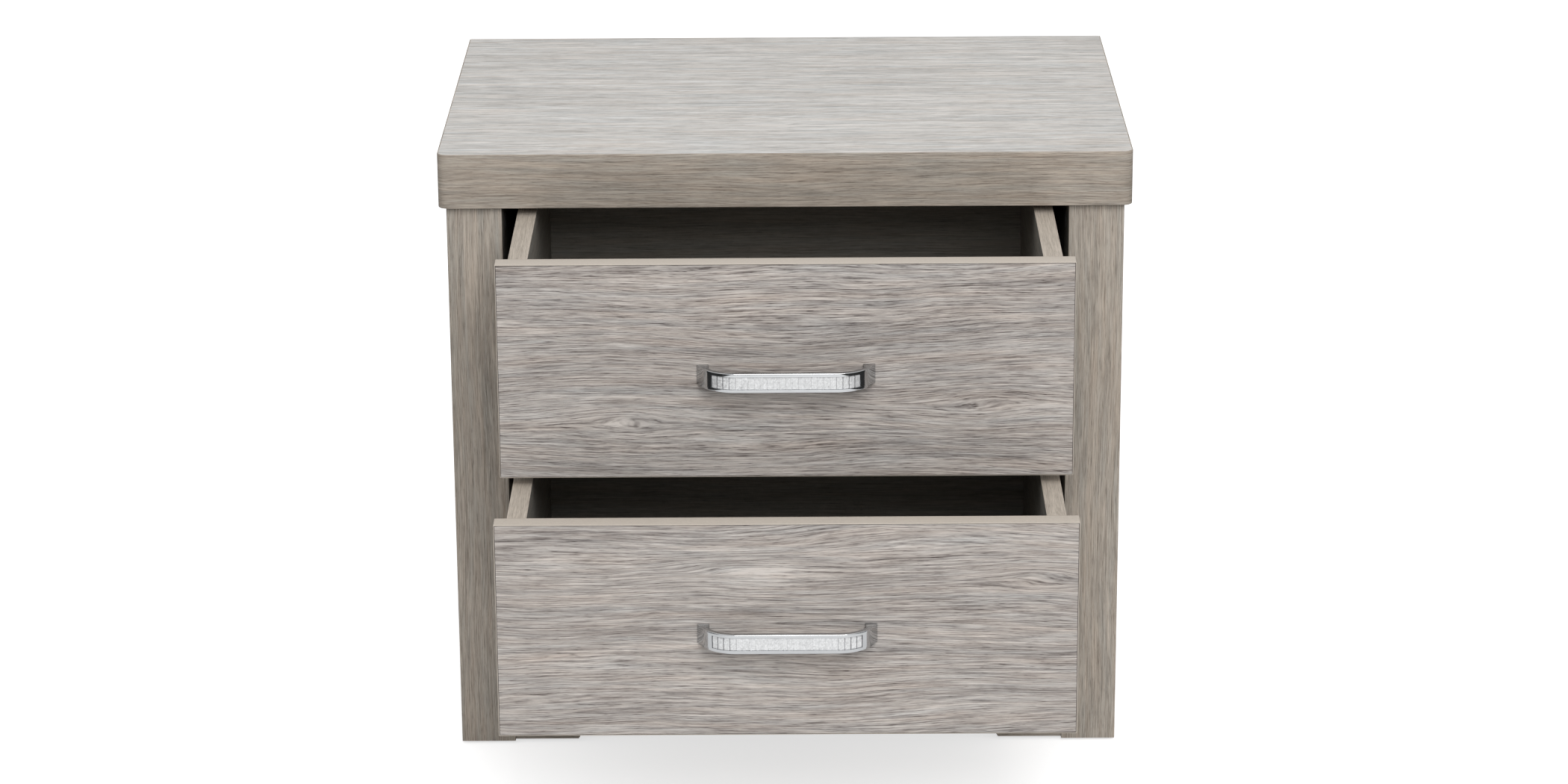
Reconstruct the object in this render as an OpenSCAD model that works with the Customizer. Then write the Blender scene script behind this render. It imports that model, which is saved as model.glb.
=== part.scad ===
// Nightstand with two inset drawers on roller runners.
// +Z is up and -Y is the front. The origin is on the floor, under the middle of the top panel.
// The thick top and sides are each two faced boards on a frame of strips, with banded edges.

/* [Overall] */
// Width over the top panel
body_w = 550; // [420:1:750]
// Depth over the top panel
body_d = 390; // [385:1:560]
// Height from the floor to the top surface
body_h = 504; // [410:1:700]

/* [Panels] */
// Thickness of the faced boards
board_t = 16; // [14:0.5:20]
// Thickness of the strips between the two boards of a thick panel
core_t = 12; // [8:1:20]
// Width of those strips
strip_w = 50; // [36:1:70]
// Thickness of the edge banding
band_t = 1; // [0.5:0.1:2]
// Radius of the top panel's front corners
top_corner_r = 8; // [4:0.5:25]
// How far the top stands past each side
top_side_overhang = 6; // [0:0.5:20]
// How far the top stands past the front
top_front_overhang = 7; // [0:0.5:20]
// How far the top stands past the back
top_back_overhang = 5; // [0:0.5:20]
// Thickness of the hardboard back
back_t = 3; // [2.5:0.5:6]

/* [Base] */
// Height of the bottom board's top face
floor_h = 99; // [75:1:130]
// Width of each plinth foot at the floor
foot_w = 52; // [45:1:90]
// Height of the cut-out in each plinth
cut_h = 45; // [20:1:48]
// Slope of the cut-out's ends from upright
cut_angle = 30; // [0:1:40]
// How far the front plinth stands back from the side edges
plinth_setback = 2; // [0:0.5:15]
// Thickness of the floor glides
glide_t = 2; // [1.5:0.5:6]
// Diameter of the floor glides
glide_d = 20; // [14:1:28]

/* [Drawers] */
// Gap beside each drawer front
side_gap = 3; // [1.5:0.5:5]
// Gap between the upper front and the top panel
top_gap = 6; // [2:0.5:10]
// Gap between the two fronts
mid_gap = 7; // [2:0.5:12]
// Gap between the lower front and the bottom board
floor_gap = 4; // [2:0.5:10]
// Thickness of the drawer box boards
box_t = 15; // [14:0.5:18]
// Thickness of the hardboard drawer bottoms
bottom_t = 3; // [2.5:0.5:5]
// How far the upper drawer stands open
upper_open = 144; // [0:1:200]
// How far the lower drawer stands open
lower_open = 232; // [0:1:240]

/* [Runners] */
// Side clearance that the runners fill
runner_gap = 12.5; // [12.5:0.1:14]
// Thickness of the runner steel
steel_t = 1.2; // [1:0.1:1.5]
// Diameter of the runner rollers
roller_d = 20; // [18:0.5:22]
// Width of the runner rollers
roller_w = 5.5; // [4:0.1:5.6]
// Part of the runner's length that stays in the cabinet when the drawer is out
runner_overlap = 90; // [80:1:105]

/* [Handles] */
// Distance between the two handle screws
handle_pitch = 128; // [96:1:192]
// Height of the handle bar
handle_h = 15.5; // [12:0.5:24]
// How far the handle stands out
handle_out = 25; // [20:0.5:30]
// Thickness of the handle bar
handle_t = 4; // [3:0.5:6]
// Radius of the bow's bends
bow_r = 30; // [26:0.5:34]
// Width of each handle foot
handle_foot_w = 9.5; // [8:0.5:12]
// Height of the inlaid strip
inlay_h = 10; // [6:0.5:11]
// Depth of the inlay's recess
inlay_depth = 1; // [0.6:0.1:1.5]
// How far the handle's middle lies below the front's middle
handle_drop = 2; // [0:0.5:10]

/* [Hidden] */
$fn = 48;

// Cutters reach this far past the face that they open.
eps = 0.5;
// Radial room of a pin, dowel or screw in its hole.
fit = 0.05;
// Room past the end of a screw or bolt in its hole.
tip_play = 0.3;
// Running gap between a roller and the track that it rolls on.
roll_gap = 0.2;
// Colours
top_grey = "#c6c2be";
frame_grey = "#a39789";
front_grey = "#a9a29c";
edge_beige = "#bcb4aa";
box_grey = "#b1a99e";
hardboard = "#8f7a63";
chipboard = "#c2a77c";
zinc = "#b9bcbf";
chrome = "#cfd1d3";
crystal = "#dcdddd";
nylon = "#e6e4de";

// Carcass planes
panel_t = 2 * board_t + core_t;
side_x = body_w / 2 - top_side_overhang;
core_x = side_x - board_t - core_t;
open_x = side_x - panel_t;
front_y = -body_d / 2 + top_front_overhang;
back_y = body_d / 2 - top_back_overhang;
rebate_y = back_y - back_t;
board_front_y = front_y + band_t;
under_top = body_h - panel_t;
floor_under = floor_h - board_t;
plinth_foot_gap = 1;
plinth_y = front_y + plinth_setback;
back_corner_r = 2;
back_play = 0.5;
back_lap = 10;

// Drawer planes, with the drawer closed
front_h = (under_top - floor_h - top_gap - mid_gap - floor_gap) / 2;
front_x = open_x - side_gap;
lower_z = floor_h + floor_gap;
upper_z = lower_z + front_h + mid_gap;
box_front_y = front_y + board_t;
box_x = open_x - runner_gap;
box_inner_x = box_x - box_t;
box_lift = 14;
box_h = front_h - box_lift;
groove_depth = 5;
groove_z = 10;
groove_play = 0.1;

// Runners: the longest standard length that fits behind the drawer front
runner_step = 50;
runner_inset = 2;
box_short = 12;
runner_y = box_front_y + runner_inset;
runner_len = runner_step * floor((rebate_y - runner_y) / runner_step);
box_len = runner_len - box_short;
box_back_y = box_front_y + box_len;
travel = runner_len - runner_overlap;
roller_r = roller_d / 2;
roller_end = 12;
// Each face of a roller is sunk between its rim and its hub.
roller_recess = 0.8;
roller_rim = 1.8;
roller_hub = 1.6;
flange_gap = 0.5;
channel_depth = 9.5;
track_lip_gap = 2;
lip_play = 0.3;
foot_flange_gap = 1;
axle_r = 2;
axle_head_r = 3.25;
axle_head_t = 0.7;
axle_play = 0.2;
web_play = 1.2;
stop_h = 4;
stop_t = 3;
// Horizontal distance from a roller's middle to a stop of that height when they touch
stop_reach = sqrt(2 * roller_r * stop_h - stop_h * stop_h);
cabinet_roller_y = runner_y + roller_end;
drawer_roller_y = box_back_y - roller_end;
// Outer faces of the rollers
cabinet_roller_x = open_x - steel_t - web_play;
drawer_roller_x = box_x + steel_t + axle_play + roller_w;
// Heights over the bottom edge of the drawer side
track_z = 14;
cabinet_roller_z = track_z - roll_gap - roller_r;
channel_top_z = track_z - flange_gap;
drawer_roller_z = channel_top_z - steel_t - lip_play - roller_r;
channel_floor_z = drawer_roller_z - roller_r - roll_gap - steel_t;

// Handle outline, with x along the front and y out from it
handle_foot_x = handle_pitch / 2 + handle_foot_w / 2;
handle_lean = 5.5;
bow_start = 33.5;
bow_x = handle_foot_x - handle_lean - bow_r * cos(bow_start);
bow_y = handle_out - bow_r;
inlay_end = 51;
inlay_play = 0.15;
// The inlay stays this far off its recess and below the bezel.
inlay_sink = 0.1;
inlay_end_play = 0.5;
handle_screw_r = 2;
handle_screw_grip = 4;
handle_screw_head_r = 4;
handle_screw_head_t = 2.4;

// Fasteners
cam_r = 7.5;
cam_depth = 12.5;
cam_reach = 24;
cam_seat_r = 3.3;
cam_slot_w = 1.6;
cam_slot_depth = 1;
cam_play = 0.2;
bolt_r = 3;
bolt_bore_r = 4;
bolt_tail = 2;
bolt_seat = 3;
thread_r = 2.5;
thread_len = 11;
dowel_r = 4;
dowel_in = 18;
dowel_out = 12;
dowel_play = 0.5;
plinth_dowel_z = 21;
plinth_cam_edge = 2;
plinth_cam_z = floor_under - cam_r - plinth_cam_edge;
screw_r = 1.75;
screw_len = 12;
screw_head_r = 3.3;
screw_head_t = 1.5;
screw_front_end = 45;
screw_back_end = 40;
back_screw_r = 2;
back_screw_len = 40;
back_screw_head_r = 3.5;
back_screw_head_t = 2.5;
nail_r = 0.7;
nail_len = 18;
nail_head_r = 1.6;
nail_head_t = 0.6;
nail_end = 35;
glide_nail_r = 1;
glide_nail_len = 14;
cam_inset_y = 40;
dowel_inset_y = 75;
fastener_low = 45;
fastener_high = 35;

// Each joint by a cam is [middle of the cam on its face, way to the bolt's thread, way out of the face].
function top_cams() = [
    for (s = [-1, 1], y = [board_front_y + cam_inset_y, rebate_y - cam_inset_y])
    [[s * open_x, y, under_top - cam_reach], [0, 0, 1], [-s, 0, 0]]
];
function floor_cams() = [
    for (s = [-1, 1], y = [board_front_y + cam_inset_y, rebate_y - cam_inset_y])
    [[s * (open_x - cam_reach), y, floor_under], [s, 0, 0], [0, 0, -1]]
];
function front_plinth_cams() = [
    for (s = [-1, 1])
    [[s * (open_x - cam_reach), plinth_y + board_t, plinth_cam_z], [s, 0, 0], [0, 1, 0]]
];
function rear_plinth_cams() = [
    for (s = [-1, 1])
    [[s * (open_x - cam_reach), rebate_y - board_t, plinth_cam_z], [s, 0, 0], [0, -1, 0]]
];
function drawer_cams(z, s) = [
    for (h = [fastener_low, box_h - fastener_high])
    [[s * box_x, box_front_y + cam_reach, z + box_lift + h], [0, -1, 0], [s, 0, 0]]
];

// Each dowel is [its point on the joint, the way to its short end].
function top_dowels() = [
    for (s = [-1, 1], y = [board_front_y + dowel_inset_y, rebate_y - dowel_inset_y])
    [[s * (open_x + board_t / 2), y, under_top], [0, 0, 1]]
];
function floor_dowels() = [
    for (s = [-1, 1], y = [board_front_y + dowel_inset_y, rebate_y - dowel_inset_y])
    [[s * open_x, y, floor_h - board_t / 2], [s, 0, 0]]
];
function plinth_dowels(y) = [
    for (s = [-1, 1])
    [[s * open_x, y, glide_t + plinth_dowel_z], [s, 0, 0]]
];
function front_plinth_dowels() = plinth_dowels(plinth_y + board_t / 2);
function rear_plinth_dowels() = plinth_dowels(rebate_y - board_t / 2);

// Back panel nails, by their heads: up both sides, and along the bottom board.
function side_nails() = [
    for (s = [-1, 1], i = [0 : 4])
    [s * (open_x + board_t / 2), floor_h + nail_end + i * (under_top - floor_h - 2 * nail_end) / 4]
];
function floor_nails() = [for (i = [-1.5 : 1 : 1.5]) [i * open_x / 2, floor_h - board_t / 2]];

// Screws of each runner, along its length
function screw_row(y, length) = [y + screw_front_end, y + length / 2, y + length - screw_back_end];
function runner_screw_ys() = screw_row(runner_y, runner_len);
function drawer_runner_screw_ys() = screw_row(box_front_y, box_len);

// A turn and move that takes local x to "along", local z to "out" and the origin to "at".
module place(at, along, out) {
    side = cross(out, along);
    multmatrix([
        [along[0], side[0], out[0], at[0]],
        [along[1], side[1], out[1], at[1]],
        [along[2], side[2], out[2], at[2]],
        [0, 0, 0, 1],
    ])
    children();
}

module place_cams(cams)
    for (c = cams) place(c[0], c[1], c[2]) children();

module rod_x(r, from, to)
    translate([from, 0, 0]) rotate([0, 90, 0]) cylinder(r = r, h = to - from);

// A box by its lowest and highest corner
module block(low, high) translate(low) cube(high - low);

// A flat outline in x and z, carried along y from one plane to another
module along_y(from, to)
    translate([0, to, 0]) rotate([90, 0, 0]) linear_extrude(to - from) children();

module mirror_x(s)
    if (s < 0) mirror([1, 0, 0]) children();
    else children();

// Cam disc, with a slot for the bolt's end. t is the thickness of the board that it sits in.
module cam_lock(t)
    difference() {
        translate([0, 0, -cam_depth]) cylinder(r = cam_r, h = cam_depth);
        translate([0, 0, -t / 2]) rod_x(cam_seat_r, -bolt_seat, cam_r + eps);
        translate([-cam_r / 2, -cam_slot_w / 2, -cam_slot_depth])
            cube([cam_r, cam_slot_w, cam_slot_depth + eps]);
    }

module cam_bolt(t)
    translate([0, 0, -t / 2]) {
        rod_x(bolt_r, -bolt_tail, cam_reach);
        rod_x(thread_r, cam_reach, cam_reach + thread_len);
    }

module cam_pocket(t) {
    translate([0, 0, -cam_depth - cam_play])
        cylinder(r = cam_r + 2 * fit, h = cam_depth + cam_play + eps);
    translate([0, 0, -t / 2]) rod_x(bolt_bore_r, 0, cam_reach + eps);
}

module bolt_hole(t)
    translate([0, 0, -t / 2]) rod_x(thread_r + fit, cam_reach - eps, cam_reach + thread_len + tip_play);

// Any way across d, so that a rod along d can be placed
function across(d) = abs(d[2]) > 0.5 ? [1, 0, 0] : [0, 0, 1];

module dowels(list)
    for (d = list) place(d[0], d[1], across(d[1])) rod_x(dowel_r, -dowel_in, dowel_out);

module dowel_holes(list)
    for (d = list) place(d[0], d[1], across(d[1]))
        rod_x(dowel_r + fit, -dowel_in - dowel_play, dowel_out + dowel_play);

module nail_holes(list)
    for (n = list) translate([n[0], back_y + eps, n[1]]) rotate([90, 0, 0])
        cylinder(r = nail_r + fit, h = nail_len + nail_head_t + eps);

// Outline of the top panel, drawn in by an amount
function top_outline(inset) = let(
    x = body_w / 2 - inset,
    y = body_d / 2 - inset,
    rf = top_corner_r - inset,
    rb = back_corner_r - inset
) concat(
    [for (a = [180 : 11.25 : 270]) [-x + rf + rf * cos(a), -y + rf + rf * sin(a)]],
    [for (a = [270 : 11.25 : 360]) [x - rf + rf * cos(a), -y + rf + rf * sin(a)]],
    rb > 0 ? [for (a = [0 : 22.5 : 90]) [x - rb + rb * cos(a), y - rb + rb * sin(a)]] : [[x, y]],
    rb > 0 ? [for (a = [90 : 22.5 : 180]) [-x + rb + rb * cos(a), y - rb + rb * sin(a)]] : [[-x, y]]
);

module top_slab(from, to, inset)
    translate([0, 0, from]) linear_extrude(to - from) polygon(top_outline(inset));

module top_upper_board()
    color(top_grey) top_slab(body_h - board_t, body_h, band_t);

module top_lower_board()
    color(chipboard) difference() {
        top_slab(under_top, under_top + board_t, band_t);
        place_cams(top_cams()) bolt_hole(board_t);
        dowel_holes(top_dowels());
    }

module top_edge_band()
    color(frame_grey) difference() {
        top_slab(under_top, body_h, 0);
        top_slab(under_top - eps, body_h + eps, band_t);
    }

// A frame of four strips, lying flat: x and y are its outer corners.
module strip_frame(x0, x1, y0, y1, t) {
    block([x0, y0, 0], [x0 + strip_w, y1, t]);
    block([x1 - strip_w, y0, 0], [x1, y1, t]);
    block([x0 + strip_w, y0, 0], [x1 - strip_w, y0 + strip_w, t]);
    block([x0 + strip_w, y1 - strip_w, 0], [x1 - strip_w, y1, t]);
}

module top_core() {
    x = body_w / 2 - top_corner_r;
    y = body_d / 2 - top_corner_r;
    translate([0, 0, under_top + board_t]) strip_frame(-x, x, -y, y, core_t);
}

// The side's frame stands on edge: its first axis is up, and its second is front to back.
module side_core(s)
    difference() {
        mirror_x(s)
            multmatrix([[0, 0, 1, core_x], [0, 1, 0, 0], [-1, 0, 0, under_top], [0, 0, 0, 1]])
                strip_frame(0, under_top - glide_t, board_front_y, rebate_y, core_t);
        for (y = glide_ys()) translate([s * (core_x + core_t / 2), y, glide_t - eps])
            cylinder(r = glide_nail_r + fit, h = glide_nail_len + 2 * eps);
    }

module hollow_core_strips()
    color(chipboard) {
        top_core();
        side_core(-1);
        side_core(1);
    }

module side_outer_board(s)
    color(frame_grey) mirror_x(s)
        block([core_x + core_t, board_front_y, glide_t], [side_x, back_y, under_top]);

module runner_screw_holes(s)
    for (z = [lower_z, upper_z], y = runner_screw_ys())
        translate([s * (open_x - eps), y, z + box_lift + drawer_roller_z]) rotate([0, s * 90, 0])
            cylinder(r = screw_r + fit, h = screw_len + eps + tip_play);

module side_inner_board(s)
    color(box_grey) difference() {
        mirror_x(s)
            block([open_x, board_front_y, glide_t], [open_x + board_t, rebate_y, under_top]);
        place_cams(top_cams()) cam_pocket(board_t);
        place_cams(concat(floor_cams(), front_plinth_cams(), rear_plinth_cams())) bolt_hole(board_t);
        dowel_holes(concat(top_dowels(), floor_dowels(), front_plinth_dowels(), rear_plinth_dowels()));
        runner_screw_holes(s);
        nail_holes(side_nails());
    }

module side_edge_band(s)
    color(frame_grey) mirror_x(s)
        block([open_x, front_y, glide_t], [side_x, board_front_y, under_top]);

module bottom_board()
    color(box_grey) difference() {
        block([-open_x, plinth_y + board_t, floor_under], [open_x, rebate_y, floor_h]);
        place_cams(floor_cams()) cam_pocket(board_t);
        dowel_holes(floor_dowels());
        nail_holes(floor_nails());
    }

// Plinth outline in x and z, with its feet and sloping cut-out
module plinth_outline(top) {
    foot = glide_t + plinth_foot_gap;
    cut_x = open_x - foot_w;
    rise = cut_h - foot;
    slope_x = cut_x - rise * tan(cut_angle);
    polygon([
        [-open_x, foot], [-cut_x, foot], [-slope_x, cut_h], [slope_x, cut_h],
        [cut_x, foot], [open_x, foot], [open_x, top], [-open_x, top],
    ]);
}

module front_plinth()
    color(frame_grey) difference() {
        along_y(plinth_y, plinth_y + board_t) plinth_outline(floor_h);
        place_cams(front_plinth_cams()) cam_pocket(board_t);
        dowel_holes(front_plinth_dowels());
    }

module rear_plinth()
    color(frame_grey) difference() {
        along_y(rebate_y - board_t, rebate_y) plinth_outline(floor_under);
        place_cams(rear_plinth_cams()) cam_pocket(board_t);
        dowel_holes(rear_plinth_dowels());
    }

module back_panel()
    color(hardboard) difference() {
        x = core_x + core_t - back_play;
        block([-x, rebate_y, floor_under - back_lap], [x, back_y, under_top - back_play]);
        nail_holes(concat(side_nails(), floor_nails()));
    }

module back_panel_nails()
    color(zinc) for (n = concat(side_nails(), floor_nails()))
        translate([n[0], back_y, n[1]]) rotate([90, 0, 0]) {
            cylinder(r = nail_r, h = nail_len);
            translate([0, 0, -nail_head_t]) cylinder(r = nail_head_r, h = nail_head_t);
        }

module carcass_cam_locks()
    color(zinc)
        place_cams(concat(top_cams(), floor_cams(), front_plinth_cams(), rear_plinth_cams()))
            cam_lock(board_t);

module carcass_cam_bolts()
    color(zinc)
        place_cams(concat(top_cams(), floor_cams(), front_plinth_cams(), rear_plinth_cams()))
            cam_bolt(board_t);

module carcass_dowels()
    color(chipboard)
        dowels(concat(top_dowels(), floor_dowels(), front_plinth_dowels(), rear_plinth_dowels()));

function glide_ys() = [board_front_y + strip_w / 2, rebate_y - strip_w / 2];

module floor_glides()
    color(nylon) for (s = [-1, 1], y = glide_ys())
        translate([s * (core_x + core_t / 2), y, 0]) {
            cylinder(d = glide_d, h = glide_t);
            cylinder(r = glide_nail_r, h = glide_t + glide_nail_len);
        }

// Runners are drawn for the right side, and mirrored for the left. z is the drawer front's lower edge.

module runner_axle(from_x, to_x, head_x, y, z)
    translate([0, y, z]) {
        rod_x(axle_r, min(from_x, to_x), max(from_x, to_x));
        rod_x(axle_head_r, min(head_x, to_x), max(head_x, to_x));
    }

// Web with a lip above and below, a front axle, and a stop for each end of the travel
module cabinet_runner(z, s)
    color(zinc) mirror_x(s) difference() {
        base = z + box_lift;
        lip_x = open_x - channel_depth;
        web_x = open_x - steel_t;
        lips_y = cabinet_roller_y + roller_end;
        end_y = runner_y + runner_len;
        low = base + channel_floor_z;
        high = base + channel_top_z;
        out_stop_y = drawer_roller_y - travel - stop_reach - roll_gap;
        in_stop_y = drawer_roller_y + roller_r + roll_gap;
        head_x = cabinet_roller_x - roller_w - axle_play;
        union() {
            block([web_x, runner_y, low], [open_x, end_y, high]);
            block([lip_x, lips_y, low], [open_x, end_y, low + steel_t]);
            block([lip_x, lips_y, high - steel_t], [open_x, end_y, high]);
            block([lip_x, out_stop_y - stop_t, low], [web_x, out_stop_y, low + steel_t + stop_h]);
            block([lip_x, in_stop_y, low], [web_x, in_stop_y + steel_t, high]);
            runner_axle(web_x, head_x - axle_head_t, head_x, cabinet_roller_y, base + cabinet_roller_z);
        }
        for (y = runner_screw_ys()) translate([web_x - eps, y, base + drawer_roller_z])
            rotate([0, 90, 0]) cylinder(r = screw_r + 2 * fit, h = steel_t + 2 * eps);
    }

module runner_roller(x, y, z)
    color(nylon) translate([0, y, z]) difference() {
        rod_x(roller_r, x - roller_w, x);
        rod_x(axle_r + fit, x - roller_w - eps, x + eps);
        for (side = [x - roller_w - eps, x - roller_recess]) difference() {
            rod_x(roller_r - roller_rim, side, side + roller_recess + eps);
            rod_x(axle_r + roller_hub, side - eps, side + roller_recess + 2 * eps);
        }
    }

module cabinet_roller(z, s)
    mirror_x(s)
        runner_roller(cabinet_roller_x, cabinet_roller_y, z + box_lift + cabinet_roller_z);

module cabinet_runner_screws()
    color(zinc) for (s = [-1, 1], z = [lower_z, upper_z], y = runner_screw_ys())
        mirror_x(s) translate([0, y, z + box_lift + drawer_roller_z]) {
            rod_x(screw_r, open_x - steel_t, open_x + screw_len);
            rod_x(screw_head_r, open_x - steel_t - screw_head_t, open_x - steel_t);
        }

// Angle under the drawer side, with a track on top that rests on the cabinet's roller
module drawer_runner(z, s)
    color(zinc) mirror_x(s) difference() {
        base = z + box_lift;
        foot_x = box_inner_x + foot_flange_gap;
        side_out = box_x + steel_t;
        track_x = open_x - track_lip_gap;
        head_x = drawer_roller_x + axle_play;
        union() {
            block([box_x, box_front_y, base - steel_t], [side_out, box_back_y, base + track_z + steel_t]);
            block([foot_x, box_front_y, base - steel_t], [side_out, box_back_y, base]);
            block([box_x, box_front_y, base + track_z], [track_x, box_back_y, base + track_z + steel_t]);
            runner_axle(side_out, head_x + axle_head_t, head_x, drawer_roller_y, base + drawer_roller_z);
        }
        for (y = drawer_runner_screw_ys()) translate([box_x - box_t / 2, y, base - steel_t - eps])
            cylinder(r = screw_r + 2 * fit, h = steel_t + 2 * eps);
    }

module drawer_roller(z, s)
    mirror_x(s)
        runner_roller(drawer_roller_x, drawer_roller_y, z + box_lift + drawer_roller_z);

module drawer_runner_screws(z)
    color(zinc) for (s = [-1, 1], y = drawer_runner_screw_ys())
        translate([s * (box_x - box_t / 2), y, z + box_lift - steel_t]) {
            cylinder(r = screw_r, h = screw_len);
            translate([0, 0, -screw_head_t]) cylinder(r = screw_head_r, h = screw_head_t);
        }

// Drawer box. z is the drawer front's lower edge, and the drawer is drawn closed.

module bottom_groove(z) {
    x = box_inner_x + groove_depth;
    low = z + box_lift + groove_z - groove_play;
    block([-x, box_front_y - groove_depth, low], [x, box_back_y + eps, low + bottom_t + 2 * groove_play]);
}

function handle_z(z) = z + front_h / 2 - handle_drop;

// The board inside the banding, or a cutter that reaches past both its faces
module front_core(z, reach) {
    x = front_x - band_t;
    block([-x, front_y - reach, z + band_t], [x, box_front_y + reach, z + front_h - band_t]);
}

module drawer_front(z)
    color(front_grey) difference() {
        front_core(z, 0);
        for (s = [-1, 1]) {
            place_cams(drawer_cams(z, s)) bolt_hole(box_t);
            translate([s * handle_pitch / 2, box_front_y + eps, handle_z(z)]) rotate([90, 0, 0])
                cylinder(r = handle_screw_r + 2 * fit, h = board_t + 2 * eps);
        }
        bottom_groove(z);
    }

module drawer_front_band(z)
    color(edge_beige) difference() {
        block([-front_x, front_y, z], [front_x, box_front_y, z + front_h]);
        front_core(z, eps);
    }

module drawer_side(z, s)
    color(box_grey) difference() {
        mirror_x(s)
            block([box_inner_x, box_front_y, z + box_lift], [box_x, box_back_y, z + front_h]);
        bottom_groove(z);
        place_cams(drawer_cams(z, s)) cam_pocket(box_t);
        place_back_screws(z, s) {
            rod_x(back_screw_r + fit, -box_t - eps, eps);
            rod_x(back_screw_head_r + fit, -back_screw_head_t, eps);
        }
        for (y = drawer_runner_screw_ys())
            translate([s * (box_x - box_t / 2), y, z + box_lift - eps])
                cylinder(r = screw_r + fit, h = screw_len - steel_t + tip_play + eps);
    }

// Screws from the drawer sides into the ends of the drawer back, with local x out of the side
module place_back_screws(z, s)
    for (h = [fastener_low, box_h - fastener_high])
        mirror_x(s) translate([box_x, box_back_y - box_t / 2, z + box_lift + h]) children();

module drawer_back(z)
    color(box_grey) difference() {
        low = z + box_lift + groove_z + bottom_t;
        block([-box_inner_x, box_back_y - box_t, low], [box_inner_x, box_back_y, z + front_h]);
        for (s = [-1, 1]) place_back_screws(z, s)
            rod_x(back_screw_r + fit, -back_screw_len - tip_play, -box_t + eps);
    }

module drawer_back_screws(z)
    color(zinc) for (s = [-1, 1]) place_back_screws(z, s) {
        rod_x(back_screw_r, -back_screw_len, -back_screw_head_t);
        rod_x(back_screw_head_r, -back_screw_head_t, 0);
    }

module drawer_bottom(z)
    color(hardboard) {
        x = box_inner_x + groove_depth - 2 * groove_play;
        low = z + box_lift + groove_z;
        block([-x, box_front_y - groove_depth + 2 * groove_play, low], [x, box_back_y, low + bottom_t]);
    }

module drawer_cam_fittings(z)
    color(zinc) for (s = [-1, 1]) place_cams(drawer_cams(z, s)) {
        cam_lock(box_t);
        cam_bolt(box_t);
    }

// Points of a bow corner at a radius, from one angle to another, for the right end
function bow_arc(r, from, to) = [
    for (i = [0 : 8]) let(a = from + (to - from) * i / 8) [bow_x + r * cos(a), bow_y + r * sin(a)]
];
function mirrored(points) = [for (p = points) [-p[0], p[1]]];
function reversed(points) = [for (i = [len(points) - 1 : -1 : 0]) points[i]];
// The outline between an outer and an inner line of the right half, and their mirror images
function band_between(outer, inner) =
    concat(outer, mirrored(reversed(outer)), mirrored(inner), reversed(inner));
// A strip along the bow between two radii, down to an angle at each end
function bow_strip(r_in, r_out, end) = band_between(bow_arc(r_out, end, 90), bow_arc(r_in, end, 90));

module handle_outline()
    polygon(band_between(
        concat([[handle_foot_x, 0]], bow_arc(bow_r, bow_start, 90)),
        concat([[handle_foot_x - handle_foot_w, 0]], bow_arc(bow_r - handle_t, bow_start, 90))
    ));

// Lays an outline drawn in x and out from the front on the drawer front, between two heights
module on_front(z, half_h)
    translate([0, front_y, z - half_h]) mirror([0, 1, 0]) linear_extrude(2 * half_h) children();

module handle(z)
    color(chrome) difference() {
        on_front(handle_z(z), handle_h / 2) handle_outline();
        on_front(handle_z(z), inlay_h / 2)
            polygon(bow_strip(bow_r - inlay_depth, bow_r + eps, inlay_end));
        for (s = [-1, 1]) translate([s * handle_pitch / 2, front_y + eps, handle_z(z)])
            rotate([90, 0, 0]) cylinder(r = handle_screw_r + fit, h = handle_screw_grip + eps + tip_play);
    }

module handle_inlay(z)
    color(crystal) on_front(handle_z(z), inlay_h / 2 - inlay_play)
        polygon(bow_strip(bow_r - inlay_depth + inlay_sink, bow_r - inlay_sink, inlay_end + inlay_end_play));

module handle_screws(z)
    color(zinc) for (s = [-1, 1]) translate([s * handle_pitch / 2, box_front_y, handle_z(z)])
        rotate([90, 0, 0]) {
            cylinder(r = handle_screw_r, h = board_t + handle_screw_grip);
            translate([0, 0, -handle_screw_head_t])
                cylinder(r = handle_screw_head_r, h = handle_screw_head_t);
        }

// Moves a drawer's pieces out to where the drawer stands
module upper() translate([0, -upper_open, 0]) children();
module lower() translate([0, -lower_open, 0]) children();

top_upper_board();
top_lower_board();
top_edge_band();
hollow_core_strips();
side_outer_board(-1);  // left_side_outer_board
side_inner_board(-1);  // left_side_inner_board
side_edge_band(-1);  // left_side_edge_band
side_outer_board(1);  // right_side_outer_board
side_inner_board(1);  // right_side_inner_board
side_edge_band(1);  // right_side_edge_band
bottom_board();
front_plinth();
rear_plinth();
back_panel();
back_panel_nails();
carcass_cam_locks();
carcass_cam_bolts();
carcass_dowels();
floor_glides();
cabinet_runner(upper_z, -1);  // upper_left_cabinet_runner
cabinet_runner(upper_z, 1);  // upper_right_cabinet_runner
cabinet_runner(lower_z, -1);  // lower_left_cabinet_runner
cabinet_runner(lower_z, 1);  // lower_right_cabinet_runner
cabinet_runner_screws();
cabinet_roller(upper_z, -1);  // upper_left_cabinet_roller
cabinet_roller(upper_z, 1);  // upper_right_cabinet_roller
cabinet_roller(lower_z, -1);  // lower_left_cabinet_roller
cabinet_roller(lower_z, 1);  // lower_right_cabinet_roller
upper() drawer_front(upper_z);  // upper_drawer_front
upper() drawer_front_band(upper_z);  // upper_drawer_front_band
upper() drawer_side(upper_z, -1);  // upper_drawer_left_side
upper() drawer_side(upper_z, 1);  // upper_drawer_right_side
upper() drawer_back(upper_z);  // upper_drawer_back
upper() drawer_bottom(upper_z);  // upper_drawer_bottom
upper() drawer_cam_fittings(upper_z);  // upper_drawer_cam_fittings
upper() drawer_back_screws(upper_z);  // upper_drawer_back_screws
upper() handle(upper_z);  // upper_handle
upper() handle_inlay(upper_z);  // upper_handle_inlay
upper() handle_screws(upper_z);  // upper_handle_screws
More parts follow.
